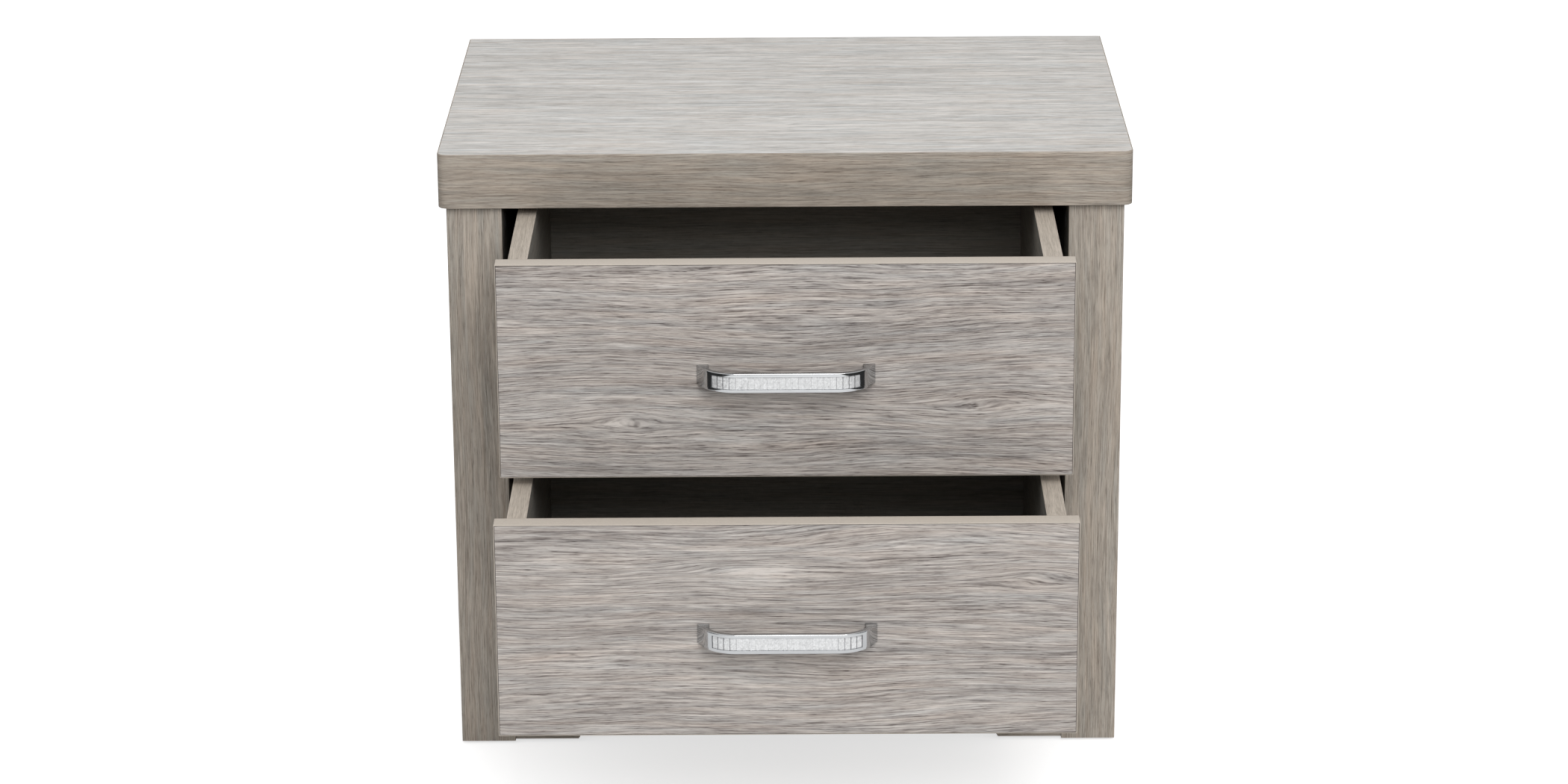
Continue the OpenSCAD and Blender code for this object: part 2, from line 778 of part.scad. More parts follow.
upper() drawer_runner(upper_z, -1);  // upper_left_drawer_runner
upper() drawer_runner(upper_z, 1);  // upper_right_drawer_runner
upper() drawer_runner_screws(upper_z);  // upper_drawer_runner_screws
upper() drawer_roller(upper_z, -1);  // upper_left_drawer_roller
upper() drawer_roller(upper_z, 1);  // upper_right_drawer_roller
lower() drawer_front(lower_z);  // lower_drawer_front
lower() drawer_front_band(lower_z);  // lower_drawer_front_band
lower() drawer_side(lower_z, -1);  // lower_drawer_left_side
lower() drawer_side(lower_z, 1);  // lower_drawer_right_side
lower() drawer_back(lower_z);  // lower_drawer_back
lower() drawer_bottom(lower_z);  // lower_drawer_bottom
lower() drawer_cam_fittings(lower_z);  // lower_drawer_cam_fittings
lower() drawer_back_screws(lower_z);  // lower_drawer_back_screws
lower() handle(lower_z);  // lower_handle
lower() handle_inlay(lower_z);  // lower_handle_inlay
lower() handle_screws(lower_z);  // lower_handle_screws
lower() drawer_runner(lower_z, -1);  // lower_left_drawer_runner
lower() drawer_runner(lower_z, 1);  // lower_right_drawer_runner
lower() drawer_runner_screws(lower_z);  // lower_drawer_runner_screws
lower() drawer_roller(lower_z, -1);  // lower_left_drawer_roller
lower() drawer_roller(lower_z, 1);  // lower_right_drawer_roller
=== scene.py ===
"""Looks of a grey oak nightstand with two drawers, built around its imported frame."""

import math

import bpy
import numpy as np
from bpy.props import FloatProperty, FloatVectorProperty, IntProperty, PointerProperty
from mathutils import Matrix, Vector


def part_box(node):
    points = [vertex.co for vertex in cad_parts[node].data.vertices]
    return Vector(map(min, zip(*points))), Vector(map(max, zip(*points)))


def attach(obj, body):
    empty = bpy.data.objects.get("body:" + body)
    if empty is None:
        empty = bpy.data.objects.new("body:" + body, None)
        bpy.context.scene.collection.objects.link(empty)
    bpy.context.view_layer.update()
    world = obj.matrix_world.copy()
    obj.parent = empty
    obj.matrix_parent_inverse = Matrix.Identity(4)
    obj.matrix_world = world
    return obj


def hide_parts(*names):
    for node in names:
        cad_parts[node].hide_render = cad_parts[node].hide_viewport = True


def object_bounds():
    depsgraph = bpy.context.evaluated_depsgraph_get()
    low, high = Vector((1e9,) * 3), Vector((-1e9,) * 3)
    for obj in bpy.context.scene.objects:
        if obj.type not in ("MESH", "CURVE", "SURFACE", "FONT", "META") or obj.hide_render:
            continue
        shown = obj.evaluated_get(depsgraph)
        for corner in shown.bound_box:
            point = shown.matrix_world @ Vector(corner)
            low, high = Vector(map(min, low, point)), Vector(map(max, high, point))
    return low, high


bl_info = {
    "name": "Nightstand with two drawers",
    "version": (1, 0, 0),
    "blender": (4, 5, 0),
    "location": "3D View > Sidebar > Nightstand",
    "description": "Finishes, handles, rollers and fasteners of a two-drawer nightstand",
    "category": "Object",
}

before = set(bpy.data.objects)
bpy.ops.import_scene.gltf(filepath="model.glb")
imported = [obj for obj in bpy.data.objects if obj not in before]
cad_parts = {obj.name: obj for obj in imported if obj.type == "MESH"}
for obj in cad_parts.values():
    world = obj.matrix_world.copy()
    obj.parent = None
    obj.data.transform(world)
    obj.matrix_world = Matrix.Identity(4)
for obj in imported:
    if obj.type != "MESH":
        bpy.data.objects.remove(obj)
CAD_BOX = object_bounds()
MM = 0.001
DRAWERS = ("upper", "lower")
SIDES = ("left", "right")
WHITE = (1.0, 1.0, 1.0, 1.0)
# Vertices closer than this are one, and a bevel rounds the edges that turn by more than the angle.
WELD_REACH = 0.001 * MM
BEVEL_ANGLE = math.radians(40)
# Height of the edging that shows along the top of each drawer box side, in mm.
EDGING_SEEN_MM = 0.4
# Radius in plan of the drawer fronts' corners.
FRONT_CORNER = 0.6 * MM
LEG_STATIONS = 3
BEND_STEPS = 28
# The inlay's recess has upright walls between stations this many degrees to each side of its ends,
# and between points this many millimetres above and below its upper and lower edge.
HAIR = 0.05
SENSOR_WIDTH = 36.0
# The sky's strength low down and overhead, as shares of its setting.
SKY_SHARES = (0.45, 1.35)
# What the softbox points at.
LIT_PLACE = (0.0, -0.1, 0.3)
# Half the white paper's width, and where the dark floor beside it is at its darkest, in metres.
PAPER_EDGES = (0.74, 0.84)


def linear(hex_colour):
    """Linear red, green, blue and alpha of an sRGB hex value, by the sRGB curve."""
    share = np.array([int(hex_colour[i : i + 2], 16) for i in (0, 2, 4)]) / 255
    curved = np.where(share <= 0.04045, share / 12.92, ((share + 0.055) / 1.055) ** 2.4)
    return (*[float(c) for c in curved], 1.0)


def colour(name, hex_colour, description):
    """A colour setting, from an sRGB hex value."""
    return FloatVectorProperty(
        name=name,
        description=description,
        subtype="COLOR",
        size=4,
        min=0.0,
        max=1.0,
        default=linear(hex_colour),
    )


def length(name, millimetres, description):
    """A length setting, from a number of millimetres."""
    return FloatProperty(
        name=name,
        description=description,
        subtype="DISTANCE",
        unit="LENGTH",
        min=0.0,
        default=millimetres * MM,
    )


def angle(name, degrees, description):
    """An angle setting, from a number of degrees."""
    return FloatProperty(
        name=name, description=description, subtype="ANGLE", default=math.radians(degrees)
    )


# ---------------------------------------------------------------- settings


class NightstandFinishes(bpy.types.PropertyGroup):
    """Colours of the decors, edgings and fittings."""

    front_light: colour("Front, light", "c0b9b3", "Early wood of the drawer fronts' oak decor")
    front_dark: colour("Front, dark", "77706c", "Late wood of the drawer fronts' oak decor")
    top_light: colour("Top, light", "d4d1cd", "Early wood of the top's oak decor")
    top_dark: colour("Top, dark", "a4a19d", "Late wood of the top's oak decor")
    frame_light: colour("Frame, light", "b3a99d", "Early wood of the frame's oak decor")
    frame_dark: colour("Frame, dark", "81786e", "Late wood of the frame's oak decor")
    post_light: colour("Posts, light", "bab0a4", "Early wood of the edging on the sides' fronts")
    post_dark: colour("Posts, dark", "8a8177", "Late wood of the edging on the sides' fronts")
    # The box colours are a darker copy of the frame's oak: painted shade inside the cabinet and the
    # drawers.
    shaded_box_light: colour("Box, light", "8f8b84", "Early wood of the drawer box boards")
    shaded_box_dark: colour("Box, dark", "67645e", "Late wood of the drawer box boards")
    side_light: colour("Side edging, light", "bcb2a6", "Early wood of the box sides' edging")
    side_dark: colour("Side edging, dark", "948b80", "Late wood of the box sides' edging")
    edging: colour("Edging", "b9b0a5", "Plastic edging of the drawer fronts")
    chipboard: colour("Chipboard", "b99d73", "Raw chipboard where no decor covers it")
    hardboard: colour("Hardboard", "6f6558", "Smooth face of the hardboard")
    beech: colour("Beech", "cfae84", "Dowels")
    zinc: colour("Zinc", "c3c6c9", "Plated steel of runners and fasteners")
    chrome: colour("Chrome", "d8dadc", "Plating of the handles")
    crystal: colour("Crystal", "e8e9ea", "Foil behind the faceted inlay")
    nylon: colour("Nylon", "e6e4de", "Rollers and glides")


class NightstandEdges(bpy.types.PropertyGroup):
    """Rounding of the boards' edges."""

    top_corner: length("Top's front corners", 8.0, "Radius in plan, as in the frame")
    back_corner: length("Top's back corners", 2.0, "Radius in plan, as in the frame")
    top_edge: length("Top's edging", 0.7, "Radius along the top and bottom of the edging")
    front_edge: length("Fronts' edging", 0.5, "Radius round the drawer fronts")
    post_edge: length("Sides' edging", 0.8, "Radius along the front of each side")
    board_edge: length("Boards", 0.35, "Radius of the other boards' edges")
    steel_edge: length("Sheet steel", 0.25, "Radius of the runners' edges")


class NightstandHandles(bpy.types.PropertyGroup):
    """The bow handle, its bezel and its inlay."""

    foot: length("Foot width", 9.5, "Width of each foot on the drawer front")
    lean: length("Lean", 5.5, "How far each foot leans in before the bend")
    bend: length("Bend radius", 30.0, "Radius of the bends' outer face")
    bend_from: angle("Bend start", 33.5, "Angle on the bend at which it leaves the foot")
    bar: length("Bar thickness", 4.0, "Thickness of the bow")
    edge: length("Bar edge", 0.5, "Radius along the bar's edges")
    recess: length("Recess", 1.0, "Depth of the inlay's recess")
    bezel: length("Bezel", 2.75, "Width of the rim above and below the inlay")
    inlay_from: angle("Inlay end", 51, "Angle on the bend at which the inlay ends")
    columns: IntProperty(
        name="Columns", description="Strips that the inlay is divided into", default=24, min=1
    )
    facet: length("Facet", 1.2, "Width of one cut facet of the inlay")
    facet_height: length("Facet height", 0.35, "Height of one cut facet")


class NightstandStage(bpy.types.PropertyGroup):
    """Camera, lights and floor."""

    focal: FloatProperty(
        name="Focal length",
        description="Lens, on a sensor 36 mm wide",
        unit="CAMERA",
        default=100.37,
    )
    place: FloatVectorProperty(
        name="Camera",
        description="Where the camera stands",
        subtype="TRANSLATION",
        unit="LENGTH",
        default=(0.0050, -3.5271, 1.4002),
    )
    pitch: angle("Pitch", 18.178, "Downward tilt")
    yaw: angle("Yaw", -0.118, "Turn to the right")
    roll: angle("Roll", -0.345, "Turn about the view")
    sky: FloatProperty(name="Sky", description="Strength of the even light", default=0.71, min=0)
    key: FloatProperty(name="Key light", description="Power of the softbox", default=38.0, min=0)
    key_place: FloatVectorProperty(
        name="Key light's place",
        description="Where the softbox hangs",
        subtype="TRANSLATION",
        unit="LENGTH",
        default=(0.4, -2.3, 1.9),
    )
    key_size: length("Key light's size", 1400.0, "Width of the softbox")


# ---------------------------------------------------------------- meshes


def grid_piece(name, points, run, around, close_run=False, sharp=30.0):
    """A closed mesh over a grid of points [station, place on the ring].

    Each quad joins two neighbours on a ring to the same two on the next station. Rings close on
    themselves. The stations close too with close_run, or else a fan of triangles closes each end.
    The UV map holds run[station] and around[place], each with one more value than there are quads.
    """
    stations, places = points.shape[:2]
    index = np.arange(stations * places).reshape(stations, places)
    ends = np.concatenate([index, index[:1]]) if close_run else index
    rings = np.concatenate([ends, ends[:, :1]], axis=1)
    quads = np.stack([rings[:-1, :-1], rings[1:, :-1], rings[1:, 1:], rings[:-1, 1:]], -1)
    u, v = np.meshgrid(run, around, indexing="ij")
    uv = np.stack([u, v], -1)
    quad_uv = np.stack([uv[:-1, :-1], uv[1:, :-1], uv[1:, 1:], uv[:-1, 1:]], -2)
    vertices = points.reshape(-1, 3)
    faces, face_uv = quads.reshape(-1, 4), quad_uv.reshape(-1, 4, 2)
    tris = np.zeros((0, 3), int)
    tri_uv = np.zeros((0, 3, 2))
    if not close_run:
        poles = points[[0, -1]].mean(axis=1)
        first, last = len(vertices), len(vertices) + 1
        vertices = np.concatenate([vertices, poles])
        here, there = rings[[0, -1], :-1], rings[[0, -1], 1:]
        tris = np.concatenate([
            np.stack([np.full(places, first), here[0], there[0]], -1),
            np.stack([np.full(places, last), there[1], here[1]], -1),
        ])
        edge = uv[[0, -1]]
        middle = edge.mean(axis=1, keepdims=True).repeat(places, axis=1)
        tri_uv = np.concatenate([
            np.stack([middle[0], edge[0, :-1], edge[0, 1:]], -2),
            np.stack([middle[1], edge[1, 1:], edge[1, :-1]], -2),
        ])
    corners = vertices[faces]
    halves = np.concatenate([corners[:, [0, 1, 2]], corners[:, [0, 2, 3]], vertices[tris]])
    # Six times the volume inside the triangles, which is negative where they face inwards.
    if np.einsum("ij,ij->", halves[:, 0], np.cross(halves[:, 1], halves[:, 2])) < 0:
        faces, face_uv = faces[:, ::-1], face_uv[:, ::-1]
        tris, tri_uv = tris[:, ::-1], tri_uv[:, ::-1]
    mesh = bpy.data.meshes.new(name)
    mesh.from_pydata(vertices.tolist(), [], faces.tolist() + tris.tolist())
    layer = mesh.uv_layers.new(name="UVMap")
    flat_uv = np.concatenate([face_uv.ravel(), tri_uv.ravel()])
    layer.data.foreach_set("uv", flat_uv.astype(np.float32))
    mesh.shade_smooth()
    mesh.set_sharp_from_angle(angle=math.radians(sharp))
    if mesh.validate():
        raise RuntimeError(f"{name}: the mesh had faults")
    piece = bpy.data.objects.new(name, mesh)
    bpy.context.scene.collection.objects.link(piece)
    return piece


def joined(name, pieces):
    """One object from several pieces of the same kind."""
    bpy.ops.object.select_all(action="DESELECT")
    for piece in pieces:
        piece.select_set(True)
    bpy.context.view_layer.objects.active = pieces[0]
    if len(pieces) > 1:
        bpy.ops.object.join()
    pieces[0].name = name
    pieces[0].data.name = name
    return pieces[0]


def mount_piece(piece, body, slot, material, *nodes):
    """Gives a finished piece its material and its body, and hides the nodes that it stands for. The
    slot is not used.
    """
    piece.data.materials.clear()
    piece.data.materials.append(material)
    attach(piece, body)
    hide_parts(*nodes)
    return piece


def arc(centre, radius, start, end, steps):
    """Points of an arc in a plane: centre plus radius times the cosine and sine of each angle."""
    angle = np.radians(np.linspace(start, end, steps + 1))
    return np.array(centre) + radius * np.stack([np.cos(angle), np.sin(angle)], -1)


def distance_along(points, closed=False):
    """Distance from the first point to each point, in millimetres, along straight steps."""
    shut = np.concatenate([points, points[:1]]) if closed else points
    steps = np.linalg.norm(np.diff(shut, axis=0), axis=1)
    return np.concatenate([[0], np.cumsum(steps)]) / MM


def rounded_outline(low, high, radii, inset, steps=8):
    """Counter-clockwise rectangle from low to high, drawn in by inset, with its corners rounded.

    Radii run from the low-low corner round to the low-high one, before the inset is taken off.
    """
    low, high = np.array(low), np.array(high)
    corners = [low, (high[0], low[1]), high, (low[0], high[1])]
    inwards = np.array([(1, 1), (-1, 1), (-1, -1), (1, -1)])
    return np.concatenate([
        arc(corner + inward * radius, max(radius - inset, 0.0), start, start + 90, steps)
        for corner, inward, radius, start in zip(corners, inwards, radii, (180, 270, 0, 90))
    ])


def strip_profile(thickness, low, high, edge, steps=5):
    """Section of an edging: [inset, height] from its hidden side round its two outer edges."""
    bottom = arc((edge, low + edge), edge, 270, 180, steps)
    top = arc((edge, high - edge), edge, 180, 90, steps)
    return np.concatenate([[(thickness, low)], bottom, top, [(thickness, high)]])


def edging_ring(name, low, high, thickness, span, radii, edge, axes):
    """Edging round a board: its outline drawn in by each profile point's inset, at its height.

    low and high are the outline's corners in the board's plane, span its two heights, and axes
    say which of x, y and z each of the outline's two directions and the height are.
    """
    profile = strip_profile(thickness, *span, edge)
    rings = np.stack([rounded_outline(low, high, radii, inset) for inset, _ in profile], 1)
    points = np.zeros((*rings.shape[:2], 3))
    points[..., axes[0]] = rings[..., 0]
    points[..., axes[1]] = rings[..., 1]
    points[..., axes[2]] = profile[:, 1]
    outer = rounded_outline(low, high, radii, 0)
    return grid_piece(
        name, points, distance_along(outer, True), distance_along(profile, True), close_run=True
    )


def turned(name, profile, centre, axis, flip=1, segments=40, marks=None):
    """A turned piece: its profile [distance along the axis, radius] carried round the axis.

    The point at an angle is centre plus the distance along the axis plus the radius times the
    cosine and sine of that angle across it. marks moves points along the axis, by radius and angle.
    """
    turn = np.linspace(0, 2 * np.pi, segments, endpoint=False)
    along = np.repeat(profile[:, :1], segments, 1)
    radius = np.repeat(profile[:, 1:], segments, 1)
    if marks is not None:
        along = along + marks(along, radius, turn[None, :])
    points = np.zeros((len(profile), segments, 3))
    points[..., axis] = flip * along
    points[..., (axis + 1) % 3] = radius * np.cos(turn)
    points[..., (axis + 2) % 3] = radius * np.sin(turn)
    closed = profile[0, 1] > 0 and profile[-1, 1] > 0
    reach = distance_along(profile, closed)
    around = np.linspace(0, 1, segments + 1) * 2 * np.pi * profile[:, 1].max() / MM
    return grid_piece(name, points + np.array(centre), reach, around, close_run=closed)


def node_vertices(node):
    """Every vertex of a CAD node, as an array in metres."""
    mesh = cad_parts[node].data
    flat = np.zeros(len(mesh.vertices) * 3, np.float32)
    mesh.vertices.foreach_get("co", flat)
    return flat.reshape(-1, 3).astype(float)


def solids_of(node, apart=50 * MM):
    """Boxes of a node's separate solids, which stand more than a distance apart along some axis."""
    groups = [node_vertices(node)]
    for axis in (0, 1, 2):
        split = []
        for group in groups:
            ordered = group[np.argsort(group[:, axis], kind="stable")]
            cuts = np.flatnonzero(np.diff(ordered[:, axis]) > apart) + 1
            split += np.split(ordered, cuts)
        groups = split
    return [(g.min(axis=0), g.max(axis=0)) for g in groups]


# ---------------------------------------------------------------- materials

MATH = "ShaderNodeMath"
MIX = "ShaderNodeMix"
RANGE = "ShaderNodeMapRange"
# Which of x, y and z (or of u, v and nothing) run along the grain, across it and into the board.
GRAIN_AXES = {"X": (0, 2, 1), "Y": (1, 2, 0), "Z": (2, 0, 1), "UV": (0, 1, 2)}
# Bands, rows and strokes: length and width in mm, salt, detail, roughness and share of the tone.
GRAIN_LAYERS = (
    (240, 9.0, 11.3, 2.0, 0.5, 0.35),
    (110, 1.4, 5.9, 2.0, 0.5, 0.55),
    (30, 0.75, 1.7, 3.0, 0.7, 1.5),
)
# Each noise averages a half.
MEAN_TONE = 0.5 * sum(layer[-1] for layer in GRAIN_LAYERS)
# A knot is this many times as long as wide, and pushes the grain by this share of its distance.
KNOT_STRETCH = 4.0
KNOT_PUSH = 0.7


def new_material(name):
    """A material with an empty node tree, and the tree."""
    material = bpy.data.materials.new(name)
    material.use_nodes = True
    material.node_tree.nodes.clear()
    return material, material.node_tree


def add(tree, kind, inputs=(), result=0, **settings):
    """Adds a node and gives back one of its outputs, by number or name.

    inputs are its sockets' values or sources: a tuple in the sockets' order, or a dict by number
    or name. settings are the node's own properties.
    """
    made = tree.nodes.new(kind)
    for name, value in settings.items():
        setattr(made, name, value)
    named = inputs if isinstance(inputs, dict) else dict(enumerate(inputs))
    for socket, value in named.items():
        if isinstance(value, bpy.types.NodeSocket):
            tree.links.new(value, made.inputs[socket])
        else:
            made.inputs[socket].default_value = value
    return made.outputs[result] if len(made.outputs) else None


def shaded(tree, tint, pattern, low, high, start=0.0, end=1.0):
    """A tint times low where a pattern's value is start, and times high where it is end."""
    ends = {"From Min": start, "From Max": end, "To Min": low, "To Max": high}
    shade = add(tree, RANGE, {"Value": pattern, **ends})
    return add(tree, MIX, {0: 1.0, 6: tint, 7: shade}, 2, data_type="RGBA", blend_type="MULTIPLY")


def finished(material, tree, height, strength, depth_mm, inputs):
    """Ends a material in its shader, with relief that follows a pattern's height."""
    relief = add(
        tree, "ShaderNodeBump", {"Strength": strength, "Distance": depth_mm * MM, "Height": height}
    )
    shader = add(tree, "ShaderNodeBsdfPrincipled", {**inputs, "Normal": relief})
    add(tree, "ShaderNodeOutputMaterial", {"Surface": shader})
    return material


def oak_decor(
    name,
    light,
    dark,
    grain="X",
    scale=1.0,
    contrast=1.0,
    sway=1.0,
    knots=(),
    bump=0.2,
    seed=0.0,
    top=None,
):
    """Printed and embossed oak decor on melamine: matt, with fine short strokes along the grain.

    A slow noise moves the grain sideways. Each knot (along, across and size in mm, and how much
    paler) pushes it apart and lightens its own middle. Noises stretched along the moved grain give
    bands, rows, strokes and pores. The grain runs along X, Y, Z or the UV map's first axis. top is
    a height in mm and two colours: what lies above that height is edging in those colours.
    """
    material, tree = new_material(name)
    place = add(tree, "ShaderNodeTexCoord", result="UV" if grain == "UV" else "Object")
    if grain != "UV":
        place = add(tree, "ShaderNodeVectorMath", {0: place, 3: 1 / MM}, operation="SCALE")
    axes = add(tree, "ShaderNodeSeparateXYZ", (place,)).node.outputs
    along, across, deep = (axes[i] for i in GRAIN_AXES[grain])

    def layer(long, wide, salt, detail, rough, row):
        """Noise from 0 to 1, in cells so long along the grain and so wide across it, in mm."""
        cell = add(tree, "ShaderNodeCombineXYZ", (along, row, deep))
        shift = (seed + salt, seed - salt, salt)
        squeeze = (1 / (long * scale), 1 / (wide * scale), 1 / (wide * scale))
        spot = add(tree, "ShaderNodeMapping", {"Vector": cell, "Location": shift, "Scale": squeeze})
        settings = {"Vector": spot, "Scale": 1.0, "Detail": detail, "Roughness": rough}
        return add(tree, "ShaderNodeTexNoise", settings)

    moved = across
    # A slow drift over most of the board, and a slight waver of each line, both in mm.
    for long, wide, salt, reach in ((260, 70, 3.1, 15.0), (40, 9, 7.7, 0.75)):
        wave = layer(long, wide, salt, 1.0, 0.5, across)
        ends = {"To Min": -reach * sway, "To Max": reach * sway}
        moved = add(tree, MATH, (moved, add(tree, RANGE, {"Value": wave, **ends}, clamp=False)))
    flat = add(tree, "ShaderNodeCombineXYZ", (along, across, 0.0))
    pale = 0.0
    for knot_along, knot_across, size, paler in knots:
        far = KNOT_STRETCH * size
        shift = (-knot_along / far, -knot_across / size, 0.0)
        squeeze = (1 / far, 1 / size, 1.0)
        spot = add(tree, "ShaderNodeMapping", {"Vector": flat, "Location": shift, "Scale": squeeze})
        square = add(tree, "ShaderNodeVectorMath", (spot, spot), 1, operation="DOT_PRODUCT")
        fall = add(tree, MATH, (square, -1.0), operation="MULTIPLY")
        core = add(tree, MATH, (fall,), operation="EXPONENT")
        off = add(tree, MATH, (across, knot_across), operation="SUBTRACT")
        push = add(tree, MATH, (off, core), operation="MULTIPLY")
        moved = add(tree, MATH, (push, -KNOT_PUSH, moved), operation="MULTIPLY_ADD")
        heart = add(tree, MATH, (core, core), operation="MULTIPLY")
        pale = add(tree, MATH, (heart, paler, pale), operation="MULTIPLY_ADD")

    tone = -MEAN_TONE
    for *cell, share in GRAIN_LAYERS:
        tone = add(tree, MATH, (layer(*cell, moved), share, tone), operation="MULTIPLY_ADD")
    shade = add(tree, MATH, (tone, 2.5 * contrast, 0.4), operation="MULTIPLY_ADD")
    pore_ends = {"From Min": 0.56, "From Max": 0.7, "To Max": 0.6 * contrast}
    pore = add(tree, RANGE, {"Value": layer(12, 0.7, 21.0, 2.0, 0.6, moved), **pore_ends})
    shade = add(tree, MATH, (shade, pore))
    shade = add(tree, MATH, (shade, pale), operation="SUBTRACT")
    shade = add(tree, "ShaderNodeClamp", (shade, -0.25, 1.35))
    wood = add(tree, MIX, {0: shade, 6: light, 7: dark}, 2, data_type="RGBA", clamp_factor=False)

    # Printed oak drifts between a pinkish and a bluish grey from one row to the next.
    drift = layer(110, 7, 31.0, 3.0, 0.6, moved)
    red = add(tree, RANGE, {"Value": drift, "To Min": 0.9, "To Max": 1.1}, clamp=False)
    blue = add(tree, RANGE, {"Value": drift, "To Min": 1.075, "To Max": 0.925}, clamp=False)
    tint = add(tree, "ShaderNodeCombineColor", (red, 1.0, blue))
    wood = add(tree, MIX, {0: 1.0, 6: wood, 7: tint}, 2, data_type="RGBA", blend_type="MULTIPLY")
    if top:
        level, edge_light, edge_dark = top
        above = add(tree, MATH, (axes[2], level), operation="GREATER_THAN")
        edge = add(tree, MIX, {0: shade, 6: edge_light, 7: edge_dark}, 2, data_type="RGBA")
        wood = add(tree, MIX, {0: above, 6: wood, 7: edge}, 2, data_type="RGBA")
    rough = add(tree, MATH, (shade, 0.12, 0.5), operation="MULTIPLY_ADD")
    height = add(tree, MATH, (1.0, shade), operation="SUBTRACT")
    surface = {"Base Color": wood, "Roughness": rough, "Specular IOR Level": 0.35}
    return finished(material, tree, height, bump, 0.25, surface)


def plain_plastic(name, tint, roughness, grit_mm=2.0):
    """Moulded nylon or extruded ABS edging: satin, with a faint mottle in its gloss and colour."""
    material, tree = new_material(name)
    place = add(tree, "ShaderNodeTexCoord", result="Object")
    mottle = add(
        tree, "ShaderNodeTexNoise", {"Vector": place, "Scale": 1 / (grit_mm * MM), "Detail": 3.0}
    )
    ends = {"To Min": roughness - 0.06, "To Max": roughness + 0.06}
    surface = {
        "Base Color": shaded(tree, tint, mottle, 0.94, 1.03, 0.3, 0.7),
        "Roughness": add(tree, RANGE, {"Value": mottle, **ends}),
    }
    return finished(material, tree, mottle, 0.08, 0.1, surface)


def pressed_wood(name, tint, chip_mm, contrast, roughness):
    """Pressed wood chips or fibres: flat flakes of several browns, each with its own shade."""
    material, tree = new_material(name)
    place = add(tree, "ShaderNodeTexCoord", result="Object")
    flakes = add(
        tree, "ShaderNodeTexVoronoi", {"Vector": place, "Scale": 1 / (chip_mm * MM)}, "Color"
    )
    fibre_scale = 0.35 / (chip_mm * MM)
    fibres = add(tree, "ShaderNodeTexNoise", {"Vector": place, "Scale": fibre_scale, "Detail": 5.0})
    both = add(tree, MATH, (flakes, fibres))
    ends = {"From Max": 2.0, "To Min": 1 - contrast, "To Max": 1 + contrast}
    shade = add(tree, RANGE, {"Value": both, **ends})
    surface = {
        "Base Color": shaded(tree, tint, both, 1 - contrast, 1 + contrast, end=2.0),
        "Roughness": roughness,
    }
    return finished(material, tree, shade, 0.25, 0.2, surface)


def plated_metal(name, tint, roughness, spread, grit_mm=4.0, bump=0.05, edge=1.0):
    """Plated steel: its crystals and handling marks vary the gloss, while the metal stays even.

    edge darkens what it mirrors at a glancing angle.
    """
    material, tree = new_material(name)
    place = add(tree, "ShaderNodeTexCoord", result="Object")
    grit = add(
        tree, "ShaderNodeTexNoise", {"Vector": place, "Scale": 1 / (grit_mm * MM), "Detail": 4.0}
    )
    ends = {"From Min": 0.3, "From Max": 0.7, "To Min": roughness, "To Max": roughness + spread}
    surface = {
        "Base Color": shaded(tree, tint, grit, 0.93, 1.0, 0.3, 0.7),
        "Metallic": 1.0,
        "Specular Tint": (edge, edge, edge, 1.0),
        "Roughness": add(tree, RANGE, {"Value": grit, **ends}),
    }
    return finished(material, tree, grit, bump, 0.05, surface)


def cut_crystal(name, tint, column_mm, length_mm):
    """Cut acrylic strips on silver foil: each facet-sized patch takes its own painted sparkle, a
    lighter or darker tint.

    A line of dark glue shows between the strips, and in the middle, where they lie flat, painted
    glare fades it out.
    """
    material, tree = new_material(name)
    place = add(tree, "ShaderNodeTexCoord", result="UV")
    along = add(tree, "ShaderNodeSeparateXYZ", (place,))
    cell = add(tree, MATH, (along, column_mm), operation="FLOORED_MODULO")
    off = add(tree, MATH, (cell, column_mm / 2), operation="SUBTRACT")
    side = add(tree, MATH, (off,), operation="ABSOLUTE")
    glue_ends = {"From Min": column_mm / 2 - 0.4, "From Max": column_mm / 2 - 0.2}
    line = add(tree, RANGE, {"Value": side, **glue_ends})
    out = add(tree, MATH, (along, length_mm / 2), operation="SUBTRACT")
    out = add(tree, MATH, (out,), operation="ABSOLUTE")
    # Painted glare: the glue lines fade out towards the middle, standing in for light washing them
    # out.
    painted_glare_ends = {"From Min": 0.3 * length_mm, "From Max": 0.42 * length_mm, "To Min": 0.08}
    painted_glare_fade = add(tree, RANGE, {"Value": out, **painted_glare_ends})
    glue_under_painted_glare = add(tree, MATH, (line, painted_glare_fade), operation="MULTIPLY")
    # Painted sparkle: patches about a facet wide are lighter or darker, standing in for glints off
    # the cut facets.
    facets = {"Vector": place, "Scale": 1.1}
    painted_sparkle = add(tree, "ShaderNodeTexVoronoi", facets, "Color", voronoi_dimensions="2D")
    painted_sparkle_tint = shaded(tree, tint, painted_sparkle, 0.74, 1.06)
    glue_colour = (0.13, 0.13, 0.14, 1.0)
    glue_and_painted_light = add(tree, MIX, {0: glue_under_painted_glare, 6: painted_sparkle_tint, 7: glue_colour}, 2, data_type="RGBA")
    surface = {"Base Color": glue_and_painted_light, "Metallic": 0.35, "Roughness": 0.22, "Coat Weight": 0.5}
    shader = add(tree, "ShaderNodeBsdfPrincipled", surface)
    add(tree, "ShaderNodeOutputMaterial", {"Surface": shader})
    return material


MATERIALS = {}


